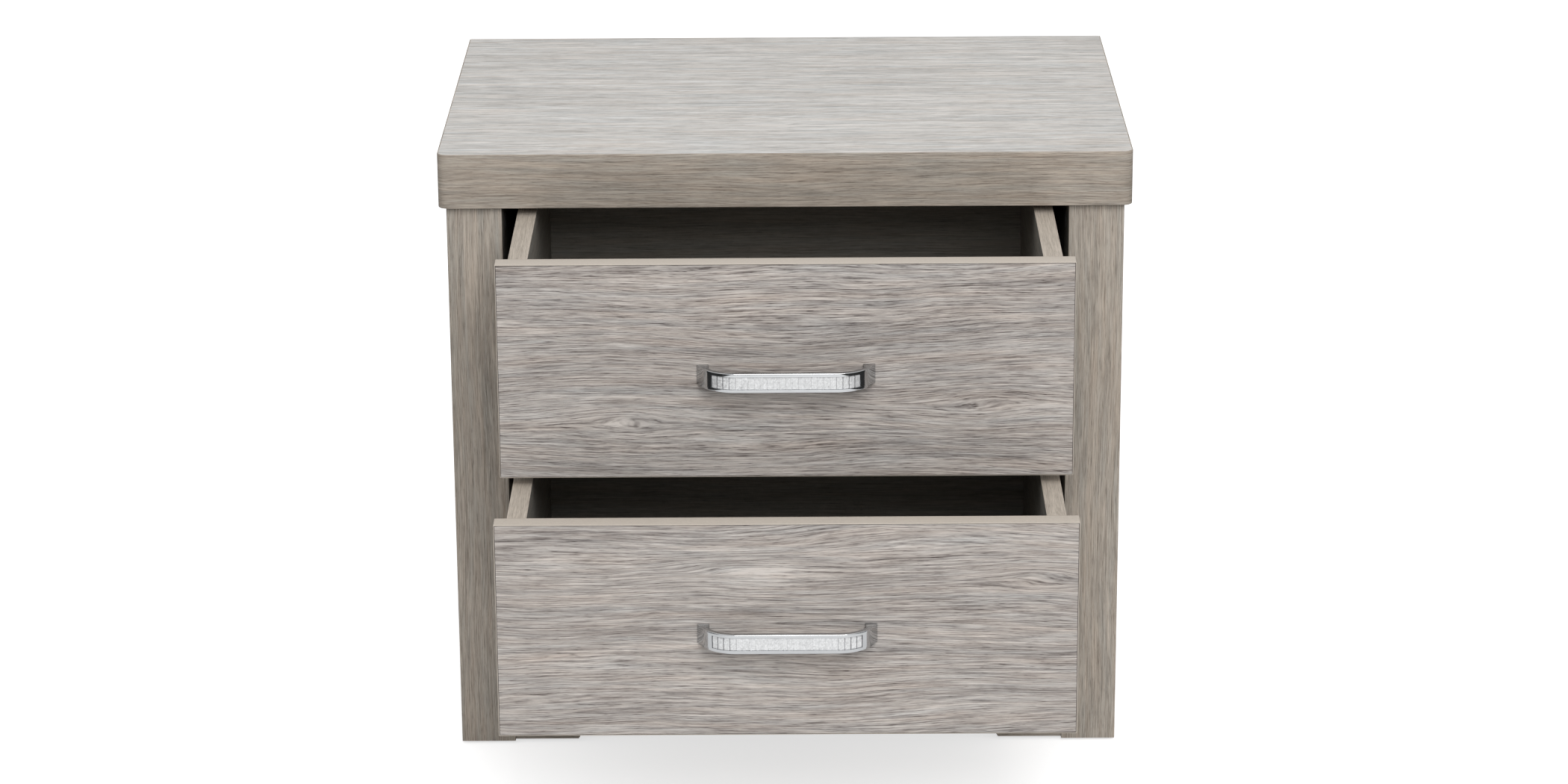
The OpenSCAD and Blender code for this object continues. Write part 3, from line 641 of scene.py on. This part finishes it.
def make_materials(f):
    """Every finish of the nightstand but the inlay's, by name."""
    fronts = dict(light=f.front_light, dark=f.front_dark, bump=0.4)
    trim = dict(light=f.frame_light, dark=f.frame_dark, scale=0.8, contrast=0.85, sway=0.35)
    posts = {**trim, "light": f.post_light, "dark": f.post_dark}
    # Painted shade: the boards inside the cabinet and the drawers take the darker box colours.
    box = dict(light=f.shaded_box_light, dark=f.shaded_box_dark, scale=0.8, contrast=0.7, sway=0.3, bump=0.1)
    # Knots are along and across the grain, in mm in the frame, with a size and a share paler.
    upper_knots = ((146, 340, 13, 0.1), (-122, 327, 10, 0.1))
    lower_knots = ((-16, 235, 11, 0.55), (-72, 240, 7, 0.15), (190, 229, 8, 0.1))
    MATERIALS.update({
        "upper_front": oak_decor("embossed_oak_upper_front", knots=upper_knots, seed=2.0, **fronts),
        "lower_front": oak_decor(
            "embossed_oak_lower_front", contrast=0.88, knots=lower_knots, seed=9.0, **fronts
        ),
        "top": oak_decor("fine_oak_top", f.top_light, f.top_dark, sway=0.3, bump=0.08, seed=4.0),
        "top_edging": oak_decor("oak_top_edging", grain="UV", seed=6.0, **trim),
        "post": oak_decor("oak_post_edging", grain="Z", seed=12.0, **posts),
        "side": oak_decor("oak_side", grain="Z", seed=15.0, **trim),
        "plinth": oak_decor("oak_plinth", seed=18.0, **trim),
        "inside": oak_decor("oak_cabinet_inside", grain="Z", seed=21.0, **box),
        "floor_board": oak_decor("oak_bottom_board", seed=24.0, **box),
        "box_back": oak_decor("oak_box_back", seed=30.0, **box),
        "edging": plain_plastic("abs_front_edging", f.edging, 0.5),
        "chipboard": pressed_wood("raw_chipboard", f.chipboard, 3.0, 0.35, 0.8),
        "hardboard": pressed_wood("hardboard", f.hardboard, 0.8, 0.12, 0.6),
        "beech": pressed_wood("beech_dowel", f.beech, 1.0, 0.1, 0.7),
        "zinc": plated_metal("zinc_plated_steel", f.zinc, 0.28, 0.14),
        "chrome": plated_metal("polished_chrome", f.chrome, 0.06, 0.05, 12.0, 0.01, edge=0.45),
        "nylon": plain_plastic("moulded_nylon", f.nylon, 0.42),
    })
    for drawer in DRAWERS:
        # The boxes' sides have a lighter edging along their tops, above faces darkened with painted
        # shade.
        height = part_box(f"{drawer}_drawer_left_side")[1].z / MM - EDGING_SEEN_MM
        top = (height, f.side_light, f.side_dark)
        name = f"{drawer}_box_side"
        MATERIALS[name] = oak_decor(f"oak_{name}", grain="Y", seed=27.0, top=top, **box)


def finish_node(node, material, radius=0.0):
    """Gives a CAD node its material and rounds its edges by a radius."""
    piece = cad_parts[node]
    piece.data.materials.clear()
    piece.data.materials.append(MATERIALS[material])
    if radius:
        weld = piece.modifiers.new("Weld", "WELD")
        weld.merge_threshold = WELD_REACH
        bevel = piece.modifiers.new("Bevel", "BEVEL")
        bevel.width = radius
        bevel.segments = 2
        bevel.limit_method = "ANGLE"
        bevel.angle_limit = BEVEL_ANGLE
        bevel.harden_normals = True


# ---------------------------------------------------------------- operators


class NIGHTSTAND_OT_top(bpy.types.Operator):
    """Lays the decor on the top and wraps its edging round it"""

    bl_idname = "nightstand.top"
    bl_label = "Top"

    def execute(self, context):
        edges = context.scene.nightstand_edges
        low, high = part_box("top_edge_band")
        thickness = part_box("top_upper_board")[0].x - low.x
        span = (low.z, high.z)
        radii = (edges.top_corner, edges.top_corner, edges.back_corner, edges.back_corner)
        ring = edging_ring(
            "top_edging", low[:2], high[:2], thickness, span, radii, edges.top_edge, (0, 1, 2)
        )
        mount_piece(ring, "carcass", "frame_decor", MATERIALS["top_edging"], "top_edge_band")
        finish_node("top_upper_board", "top")
        finish_node("top_lower_board", "plinth")
        finish_node("hollow_core_strips", "chipboard")
        return {"FINISHED"}


class NIGHTSTAND_OT_sides(bpy.types.Operator):
    """Finishes both sides and rounds the edging on their fronts"""

    bl_idname = "nightstand.sides"
    bl_label = "Sides"

    def execute(self, context):
        edges = context.scene.nightstand_edges
        for side in SIDES:
            self.post(side, edges.post_edge)
            finish_node(f"{side}_side_outer_board", "side", edges.board_edge)
            finish_node(f"{side}_side_inner_board", "inside")
        return {"FINISHED"}

    def post(self, side, edge):
        """Edging of one side: a section in plan, rounded at its front, carried straight up."""
        node = f"{side}_side_edge_band"
        low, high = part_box(node)
        section = np.concatenate([
            [(high.x, high.y), (low.x, high.y)],
            arc((low.x + edge, low.y + edge), edge, 180, 270, 5),
            arc((high.x - edge, low.y + edge), edge, 270, 360, 5),
        ])
        heights = np.array([low.z, high.z])
        points = np.zeros((2, len(section), 3))
        points[..., :2] = section
        points[..., 2] = heights[:, None]
        around = distance_along(section, True)
        band = grid_piece(f"{side}_post_edging", points, heights / MM, around)
        mount_piece(band, "carcass", "frame_decor", MATERIALS["post"], node)


class NIGHTSTAND_OT_base(bpy.types.Operator):
    """Finishes the bottom, both plinths and the back, and turns the glides"""

    bl_idname = "nightstand.base"
    bl_label = "Base and back"

    def execute(self, context):
        edges = context.scene.nightstand_edges
        finish_node("bottom_board", "floor_board", edges.board_edge)
        finish_node("front_plinth", "plinth", edges.board_edge)
        finish_node("rear_plinth", "plinth", edges.board_edge)
        finish_node("back_panel", "hardboard")
        glides = [self.glide(low, high) for low, high in solids_of("floor_glides")]
        piece = joined("nail_in_glides", glides)
        mount_piece(piece, "carcass", "nylon", MATERIALS["nylon"], "floor_glides")
        return {"FINISHED"}

    def glide(self, low, high):
        """A disc with a rounded rim on the floor, and a nail that stands up from its middle."""
        radius = (high[0] - low[0]) / 2
        reach = high[2] - low[2]
        rim, sole, nail, point = 0.7 * MM, 2.0 * MM, 1.0 * MM, 2.0 * MM
        profile = np.concatenate([
            [(0, 0), (0, 0.2 * radius)],
            arc((rim, radius - rim), rim, 180, 90, 4),
            [(sole, radius), (sole, nail), (reach - point, nail), (reach, 0.1 * MM), (reach, 0)],
        ])
        centre = ((low[0] + high[0]) / 2, (low[1] + high[1]) / 2, low[2])
        return turned("glide", profile, centre, 2)


class NIGHTSTAND_OT_drawer_boxes(bpy.types.Operator):
    """Finishes the boards of both drawer boxes"""

    bl_idname = "nightstand.drawer_boxes"
    bl_label = "Drawer boxes"

    def execute(self, context):
        edges = context.scene.nightstand_edges
        for drawer in DRAWERS:
            for side in SIDES:
                finish_node(f"{drawer}_drawer_{side}_side", f"{drawer}_box_side", edges.board_edge)
            finish_node(f"{drawer}_drawer_back", "box_back", edges.board_edge)
            finish_node(f"{drawer}_drawer_bottom", "hardboard")
        return {"FINISHED"}


class NIGHTSTAND_OT_fronts(bpy.types.Operator):
    """Finishes both drawer fronts and wraps their edging"""

    bl_idname = "nightstand.fronts"
    bl_label = "Drawer fronts"

    def execute(self, context):
        edges = context.scene.nightstand_edges
        for drawer in DRAWERS:
            node = f"{drawer}_drawer_front_band"
            low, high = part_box(node)
            ring = edging_ring(
                f"{drawer}_front_edging",
                (low.x, low.z),
                (high.x, high.z),
                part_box(f"{drawer}_drawer_front")[0].x - low.x,
                (low.y, high.y),
                (FRONT_CORNER,) * 4,
                edges.front_edge,
                (0, 2, 1),
            )
            mount_piece(ring, f"{drawer}_drawer", "front_edging", MATERIALS["edging"], node)
            finish_node(f"{drawer}_drawer_front", f"{drawer}_front")
        return {"FINISHED"}


def bow_lines(low, high, h):
    """The right half of the bow's outer and inner line in plan, and which stations are sunk.

    The outer line leans straight in from the foot and then follows an arc to the flat middle. The
    inner one is the arc drawn in by the bar's thickness. Points are [x, distance off the front].
    """
    foot = (high.x - low.x) / 2
    # The bend's middle lets its arc start on top of the leg and end in the handle's face.
    crease = foot - h.lean
    middle = np.array([crease - h.bend * math.cos(h.bend_from), high.y - low.y - h.bend])
    inlay_end = math.degrees(h.inlay_from)
    even = np.linspace(math.degrees(h.bend_from), 90, BEND_STEPS + 1)
    angles = np.sort(np.append(even, (inlay_end - HAIR, inlay_end + HAIR)))
    ring = np.radians(angles)
    way = np.stack([np.cos(ring), np.sin(ring)], -1)
    outer_bend = middle + h.bend * way
    inner_bend = middle + (h.bend - h.bar) * way
    share = np.linspace(0, 1, LEG_STATIONS, endpoint=False)[:, None]
    outer_leg = (1 - share) * (foot, 0) + share * outer_bend[0]
    inner_leg = (1 - share) * (foot - h.foot, 0) + share * inner_bend[0]
    outer = np.concatenate([outer_leg, outer_bend])
    inner = np.concatenate([inner_leg, inner_bend])
    sunk = np.append(np.zeros(LEG_STATIONS, bool), angles > inlay_end)
    return outer, inner, sunk, middle


def bow_section(half, window, edge):
    """The bar's rounded section: [offset, height] of each point, and which points are outside.

    An offset counts outwards, from the bow's outer line for the points outside and from its inner
    line for the others. Points a hair apart give the inlay's recess upright walls.
    """
    hair = HAIR * MM
    above = arc((edge, half - edge), edge, 180, 90, 4)
    outside = np.concatenate([
        arc((-edge, half - edge), edge, 90, 0, 4),
        [(0, window + hair), (0, window - hair), (0, -window + hair), (0, -window - hair)],
        arc((-edge, -half + edge), edge, 0, -90, 4),
    ])
    below = arc((edge, -half + edge), edge, -90, -180, 4)
    section = np.concatenate([above, outside, below])
    place = np.arange(len(section))
    return section, (place >= len(above)) & (place < len(above) + len(outside))


class NIGHTSTAND_OT_handles(bpy.types.Operator):
    """Sweeps the chrome bows and sets a faceted inlay in each"""

    bl_idname = "nightstand.handles"
    bl_label = "Handles"

    def execute(self, context):
        h = context.scene.nightstand_handles
        for drawer in DRAWERS:
            low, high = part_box(f"{drawer}_handle")
            window = (high.z - low.z) / 2 - h.bezel
            middle = self.bow(drawer, low, high, window, h)
            self.inlay(drawer, low, high, window, middle, h)
        return {"FINISHED"}

    def bow(self, drawer, low, high, window, h):
        """The section carried along the bow, from the inner line towards the outer one."""
        outer, inner, sunk, middle = bow_lines(low, high, h)
        outer = np.concatenate([outer, (outer * (-1, 1))[::-1]])
        inner = np.concatenate([inner, (inner * (-1, 1))[::-1]])
        sunk = np.concatenate([sunk, sunk[::-1]])[:, None]
        section, outside = bow_section((high.z - low.z) / 2, window, h.edge)
        thick = np.linalg.norm(outer - inner, axis=1)[:, None]
        depth = section[:, 0] + np.where(outside, thick, 0.0)
        in_window = outside & (np.abs(section[:, 1]) <= window)
        depth -= np.where(sunk & in_window, h.recess, 0.0)
        way = (outer - inner) / thick
        plan = inner[:, None] + depth[..., None] * way[:, None]
        points = np.zeros((*depth.shape, 3))
        points[..., 0] = plan[..., 0]
        points[..., 1] = high.y - plan[..., 1]
        points[..., 2] = (low.z + high.z) / 2 + section[:, 1]
        run, around = distance_along(outer), distance_along(section, True)
        bow = grid_piece(f"{drawer}_bow", points, run, around, sharp=28)
        mount_piece(bow, f"{drawer}_drawer", "chrome", MATERIALS["chrome"], f"{drawer}_handle")
        return middle

    def inlay(self, drawer, low, high, window, middle, h):
        """Facets on a strip along the bow: a random lift off the foil at each crossing of a grid.

        The strip runs round one bend, along the flat middle and round the other bend. Grooves part
        its columns towards both ends, and its upper and lower rim are lower than its facets.
        """
        seat, gap, body = 0.1 * MM, 0.15 * MM, 0.25 * MM
        groove, shoulder = 0.05 * MM, 0.2 * MM
        ungrooved, rim = 0.3, 0.4
        foil = h.bend - h.recess + seat
        total = 2 * (foil * (math.pi / 2 - h.inlay_from) + middle[0] - gap)
        width = 2 * (window - gap)
        column = total / h.columns
        per_column = max(2, round(column / h.facet))
        crossings = np.concatenate([
            [groove], np.linspace(shoulder, column - shoulder, per_column + 1), [column - groove]
        ])
        run = (column * np.arange(h.columns)[:, None] + crossings).ravel() - total / 2
        rise = np.linspace(-width / 2, width / 2, max(2, round(width / h.facet)) + 1)
        rng = np.random.default_rng(7 if drawer == "upper" else 8)
        lift = rng.uniform(0.25, 1.0, (len(run), len(rise))) * h.facet_height
        grooves = np.isin(np.arange(len(run)) % len(crossings), (0, len(crossings) - 1))
        lift[grooves] *= np.abs(run[grooves, None]) < ungrooved * total
        lift[:, [0, -1]] *= rim
        beyond = np.maximum(np.abs(run) - middle[0], 0.0)[:, None]
        angle = math.pi / 2 - beyond / foil

        def placed(off, height):
            """Points at distances off the foil and heights above the middle of the handle."""
            radius = foil + off
            x = np.where(beyond > 0, middle[0] + radius * np.cos(angle), np.abs(run)[:, None])
            y = high.y - middle[1] - radius * np.sin(angle)
            z = np.broadcast_to((low.z + high.z) / 2 + height, x.shape)
            return np.stack([x * np.sign(run)[:, None], y, z], -1)

        back = placed(np.zeros((1, 2)), np.array([width, -width]) / 2)
        points = np.concatenate([placed(lift + body, rise), back], axis=1)
        around = np.concatenate([rise, [width / 2 + 0.3 * MM, width * 1.5, width * 2]]) / MM
        name = f"{drawer}_crystal_inlay"
        strip = grid_piece(name, points, (run + total / 2) / MM, around, sharp=1.0)
        if "crystal" not in MATERIALS:
            tint = bpy.context.scene.nightstand_finishes.crystal
            MATERIALS["crystal"] = cut_crystal("cut_acrylic_on_foil", tint, column / MM, total / MM)
        node = f"{drawer}_handle_inlay"
        mount_piece(strip, f"{drawer}_drawer", "crystal", MATERIALS["crystal"], node)


class NIGHTSTAND_OT_runners(bpy.types.Operator):
    """Finishes the steel runners and turns their rollers"""

    bl_idname = "nightstand.runners"
    bl_label = "Runners"

    def execute(self, context):
        edges = context.scene.nightstand_edges
        for drawer in DRAWERS:
            for side in SIDES:
                for kind in ("cabinet", "drawer"):
                    finish_node(f"{drawer}_{side}_{kind}_runner", "zinc", edges.steel_edge)
                    self.roller(f"{drawer}_{side}_{kind}_roller")
        return {"FINISHED"}

    def roller(self, node):
        """A moulded roller: hub, sunk web and rim on both faces, and a tread with round edges."""
        low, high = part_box(node)
        radius = (high.z - low.z) / 2
        half = (high.x - low.x) / 2
        bore, hub, rim = 2.05 * MM, 3.6 * MM, radius - 1.8 * MM
        web, slope, edge = half - 0.8 * MM, 0.3 * MM, 0.4 * MM
        right = np.concatenate([
            [(half, bore), (half, hub), (web, hub + slope), (web, rim - slope), (half, rim)],
            arc((half - edge, radius - edge), edge, 0, 90, 4),
            [(half * 0.5, radius)],
        ])
        profile = np.concatenate([right, (right * (-1, 1))[::-1]])
        piece = turned(f"{node}_wheel", profile, (low + high) / 2, 0, segments=56)
        mount_piece(piece, node, "nylon", MATERIALS["nylon"], node)


class NIGHTSTAND_OT_fasteners(bpy.types.Operator):
    """Turns the screws and nails, and finishes the cams, bolts and dowels"""

    bl_idname = "nightstand.fasteners"
    bl_label = "Fasteners"

    def execute(self, context):
        nodes = [("cabinet_runner_screws", "carcass", 0), ("back_panel_nails", "carcass", 1)]
        for drawer in DRAWERS:
            nodes += [
                (f"{drawer}_drawer_runner_screws", f"{drawer}_drawer", 2),
                (f"{drawer}_drawer_back_screws", f"{drawer}_drawer", 0),
                (f"{drawer}_handle_screws", f"{drawer}_drawer", 1),
            ]
            finish_node(f"{drawer}_drawer_cam_fittings", "zinc")
        for node, body, axis in nodes:
            self.group(node, body, axis)
        finish_node("carcass_cam_locks", "zinc")
        finish_node("carcass_cam_bolts", "zinc")
        finish_node("carcass_dowels", "beech")
        return {"FINISHED"}

    def group(self, node, body, axis):
        """Every screw or nail of a node. Its head is the end where its section is widest."""
        cross = [i for i in (0, 1, 2) if i != axis]
        vertices = node_vertices(node)
        made = []
        for low, high in solids_of(node):
            own = vertices[np.all((vertices >= low - MM) & (vertices <= high + MM), axis=1)]
            centre = (low + high) / 2
            radius = (high[cross[0]] - low[cross[0]]) / 2
            span = np.linalg.norm(own[:, cross] - centre[cross], axis=1)
            wide = own[span > 0.9 * radius][:, axis]
            head_low, head_high = wide.min(), wide.max()
            flip = -1 if head_low - low[axis] < high[axis] - head_high else 1
            tip = centre.copy()
            tip[axis] = low[axis] if flip > 0 else high[axis]
            reach = high[axis] - low[axis]
            head = head_high - head_low
            profile, cut = self.fastener(reach, head, radius, span.min())
            marks = None if "nail" in node else cut
            made.append(turned("fastener", profile, tip, axis, flip, 32, marks))
        piece = joined(f"{node}_turned", made)
        mount_piece(piece, body, "zinc_steel", MATERIALS["zinc"], node)

    def fastener(self, reach, head, radius, shank):
        """Point, shank and head along an axis, and the cross that a driver fits in the head."""
        crown = 0.35 * head
        dome = np.linspace(1, 0, 12)[1:-1]
        profile = np.concatenate([
            [(0, 0), (0.02 * MM, 0.1 * shank), (1.5 * shank, shank), (reach - head, shank)],
            [(reach - head, radius * 0.96), (reach - head * 0.9, radius), (reach - crown, radius)],
            np.stack([reach - crown * dome**2, radius * dome], -1),
            [(reach, 0)],
        ])
        arm, blade, deep = 0.62 * radius, 0.16 * radius, 0.6 * head

        def cut(along, distance, turn):
            x, y = np.abs(distance * np.cos(turn)), np.abs(distance * np.sin(turn))
            inside = ((x < arm) & (y < blade)) | ((y < arm) & (x < blade))
            return np.where(inside & (along > reach - crown - 0.01 * MM), -deep, 0.0)

        return profile, cut


class NIGHTSTAND_OT_stage(bpy.types.Operator):
    """Sets up the camera, the softbox, the sky and the floor"""

    bl_idname = "nightstand.stage"
    bl_label = "Stage"

    def execute(self, context):
        s = context.scene.nightstand_stage
        scene = context.scene
        scene.view_settings.view_transform = "Standard"
        self.camera(scene, s)
        self.sky(scene, s)
        self.softbox(scene, s)
        self.floor(scene)
        return {"FINISHED"}

    def camera(self, scene, s):
        """A camera that rolls about its own view, tilts down by its pitch and turns by its yaw."""
        data = bpy.data.cameras.new("camera")
        data.lens = s.focal
        data.sensor_width = SENSOR_WIDTH
        data.clip_end = 50.0
        camera = bpy.data.objects.new("camera", data)
        turn = Matrix.Rotation(-s.yaw, 4, "Z") @ Matrix.Rotation(math.pi / 2 - s.pitch, 4, "X")
        turn = turn @ Matrix.Rotation(s.roll, 4, "Z")
        camera.matrix_world = Matrix.Translation(s.place) @ turn
        scene.collection.objects.link(camera)
        scene.camera = camera

    def sky(self, scene, s):
        """Even light that grows from low down to overhead, and plain white where it shows."""
        world = bpy.data.worlds.new("studio")
        scene.world = world
        world.use_nodes = True
        tree = world.node_tree
        tree.nodes.clear()
        way = add(tree, "ShaderNodeTexCoord", result="Generated")
        up = add(tree, "ShaderNodeSeparateXYZ", (way,), 2)
        horizon, zenith = (share * s.sky for share in SKY_SHARES)
        ends = {"From Min": -0.1, "From Max": 0.9, "To Min": horizon, "To Max": zenith}
        rise = add(tree, RANGE, {"Value": up, **ends})
        seen = add(tree, "ShaderNodeLightPath", result="Is Camera Ray")
        strength = add(tree, MIX, {0: seen, 2: rise, 3: 1.0})
        light = add(tree, "ShaderNodeBackground", {"Color": WHITE, "Strength": strength})
        add(tree, "ShaderNodeOutputWorld", {"Surface": light})

    def softbox(self, scene, s):
        """A square lamp that faces the middle of the nightstand."""
        data = bpy.data.lights.new("softbox", "AREA")
        data.energy = s.key
        data.size = s.key_size
        box = bpy.data.objects.new("softbox", data)
        box.location = s.key_place
        aim = Vector(LIT_PLACE) - Vector(s.key_place)
        box.rotation_euler = aim.to_track_quat("-Z", "Y").to_euler()
        scene.collection.objects.link(box)

    def floor(self, scene):
        """A wide flat sheet under the glides, which shows as white with a soft shadow.

        Other rays see a white sweep of its real width, with dark studio floor on both sides of it,
        so that the chrome has something dark to reflect.
        """
        low, _ = CAD_BOX
        reach = 12.0
        corners = [(-reach, -reach), (reach, -reach), (reach, reach), (-reach, reach)]
        mesh = bpy.data.meshes.new("floor")
        mesh.from_pydata([(x, y, low.z) for x, y in corners], [], [(0, 1, 2, 3)])
        sheet = bpy.data.objects.new("floor", mesh)
        scene.collection.objects.link(sheet)
        material, tree = new_material("white_paper_sweep")
        glow = add(tree, "ShaderNodeEmission", {"Color": WHITE, "Strength": 0.67})
        lit = add(tree, "ShaderNodeBsdfDiffuse", {"Color": (0.62, 0.62, 0.62, 1)})
        shown = add(tree, "ShaderNodeAddShader", (lit, glow))
        place = add(tree, "ShaderNodeTexCoord", result="Object")
        axes = add(tree, "ShaderNodeSeparateXYZ", (place,)).node.outputs
        side = add(tree, MATH, (axes[0],), operation="ABSOLUTE")
        paper_end, studio_start = PAPER_EDGES
        past = add(tree, RANGE, {"Value": side, "From Min": paper_end, "From Max": studio_start})
        # The studio floor lightens a little behind the nightstand.
        behind = add(tree, RANGE, {"Value": axes[1], "From Max": 0.3, "To Min": 1.0, "To Max": 0.85})
        dark = add(tree, MATH, (past, behind), operation="MULTIPLY")
        tints = {6: (0.72, 0.72, 0.72, 1), 7: (0.03, 0.03, 0.03, 1)}
        paper = add(tree, MIX, {0: dark, **tints}, 2, data_type="RGBA")
        dull = add(tree, "ShaderNodeBsdfDiffuse", {"Color": paper})
        seen = add(tree, "ShaderNodeLightPath", result="Is Camera Ray")
        both = add(tree, "ShaderNodeMixShader", (seen, dull, shown))
        add(tree, "ShaderNodeOutputMaterial", {"Surface": both})
        mesh.materials.append(material)


# ---------------------------------------------------------------- panel and run


OPERATORS = (
    NIGHTSTAND_OT_top,
    NIGHTSTAND_OT_sides,
    NIGHTSTAND_OT_base,
    NIGHTSTAND_OT_drawer_boxes,
    NIGHTSTAND_OT_fronts,
    NIGHTSTAND_OT_handles,
    NIGHTSTAND_OT_runners,
    NIGHTSTAND_OT_fasteners,
    NIGHTSTAND_OT_stage,
)


class NIGHTSTAND_PT_panel(bpy.types.Panel):
    """Lists the settings and the steps"""

    bl_idname = "NIGHTSTAND_PT_panel"
    bl_label = "Nightstand"
    bl_space_type = "VIEW_3D"
    bl_region_type = "UI"
    bl_category = "Nightstand"

    def draw(self, context):
        for group in SETTINGS:
            settings = getattr(context.scene, group)
            box = self.layout.box()
            for name in settings.__annotations__:
                box.prop(settings, name)
        for operator in OPERATORS:
            self.layout.operator(operator.bl_idname)


SETTINGS = {
    "nightstand_finishes": NightstandFinishes,
    "nightstand_edges": NightstandEdges,
    "nightstand_handles": NightstandHandles,
    "nightstand_stage": NightstandStage,
}
CLASSES = (*SETTINGS.values(), *OPERATORS, NIGHTSTAND_PT_panel)


def register():
    for cls in CLASSES:
        bpy.utils.register_class(cls)
    for name, cls in SETTINGS.items():
        setattr(bpy.types.Scene, name, PointerProperty(type=cls))


def unregister():
    for name in SETTINGS:
        delattr(bpy.types.Scene, name)
    for cls in reversed(CLASSES):
        bpy.utils.unregister_class(cls)


def main():
    register()
    make_materials(bpy.context.scene.nightstand_finishes)
    for operator in OPERATORS:
        group, name = operator.bl_idname.split(".")
        getattr(getattr(bpy.ops, group), name)()


if __name__ == "__main__":
    main()
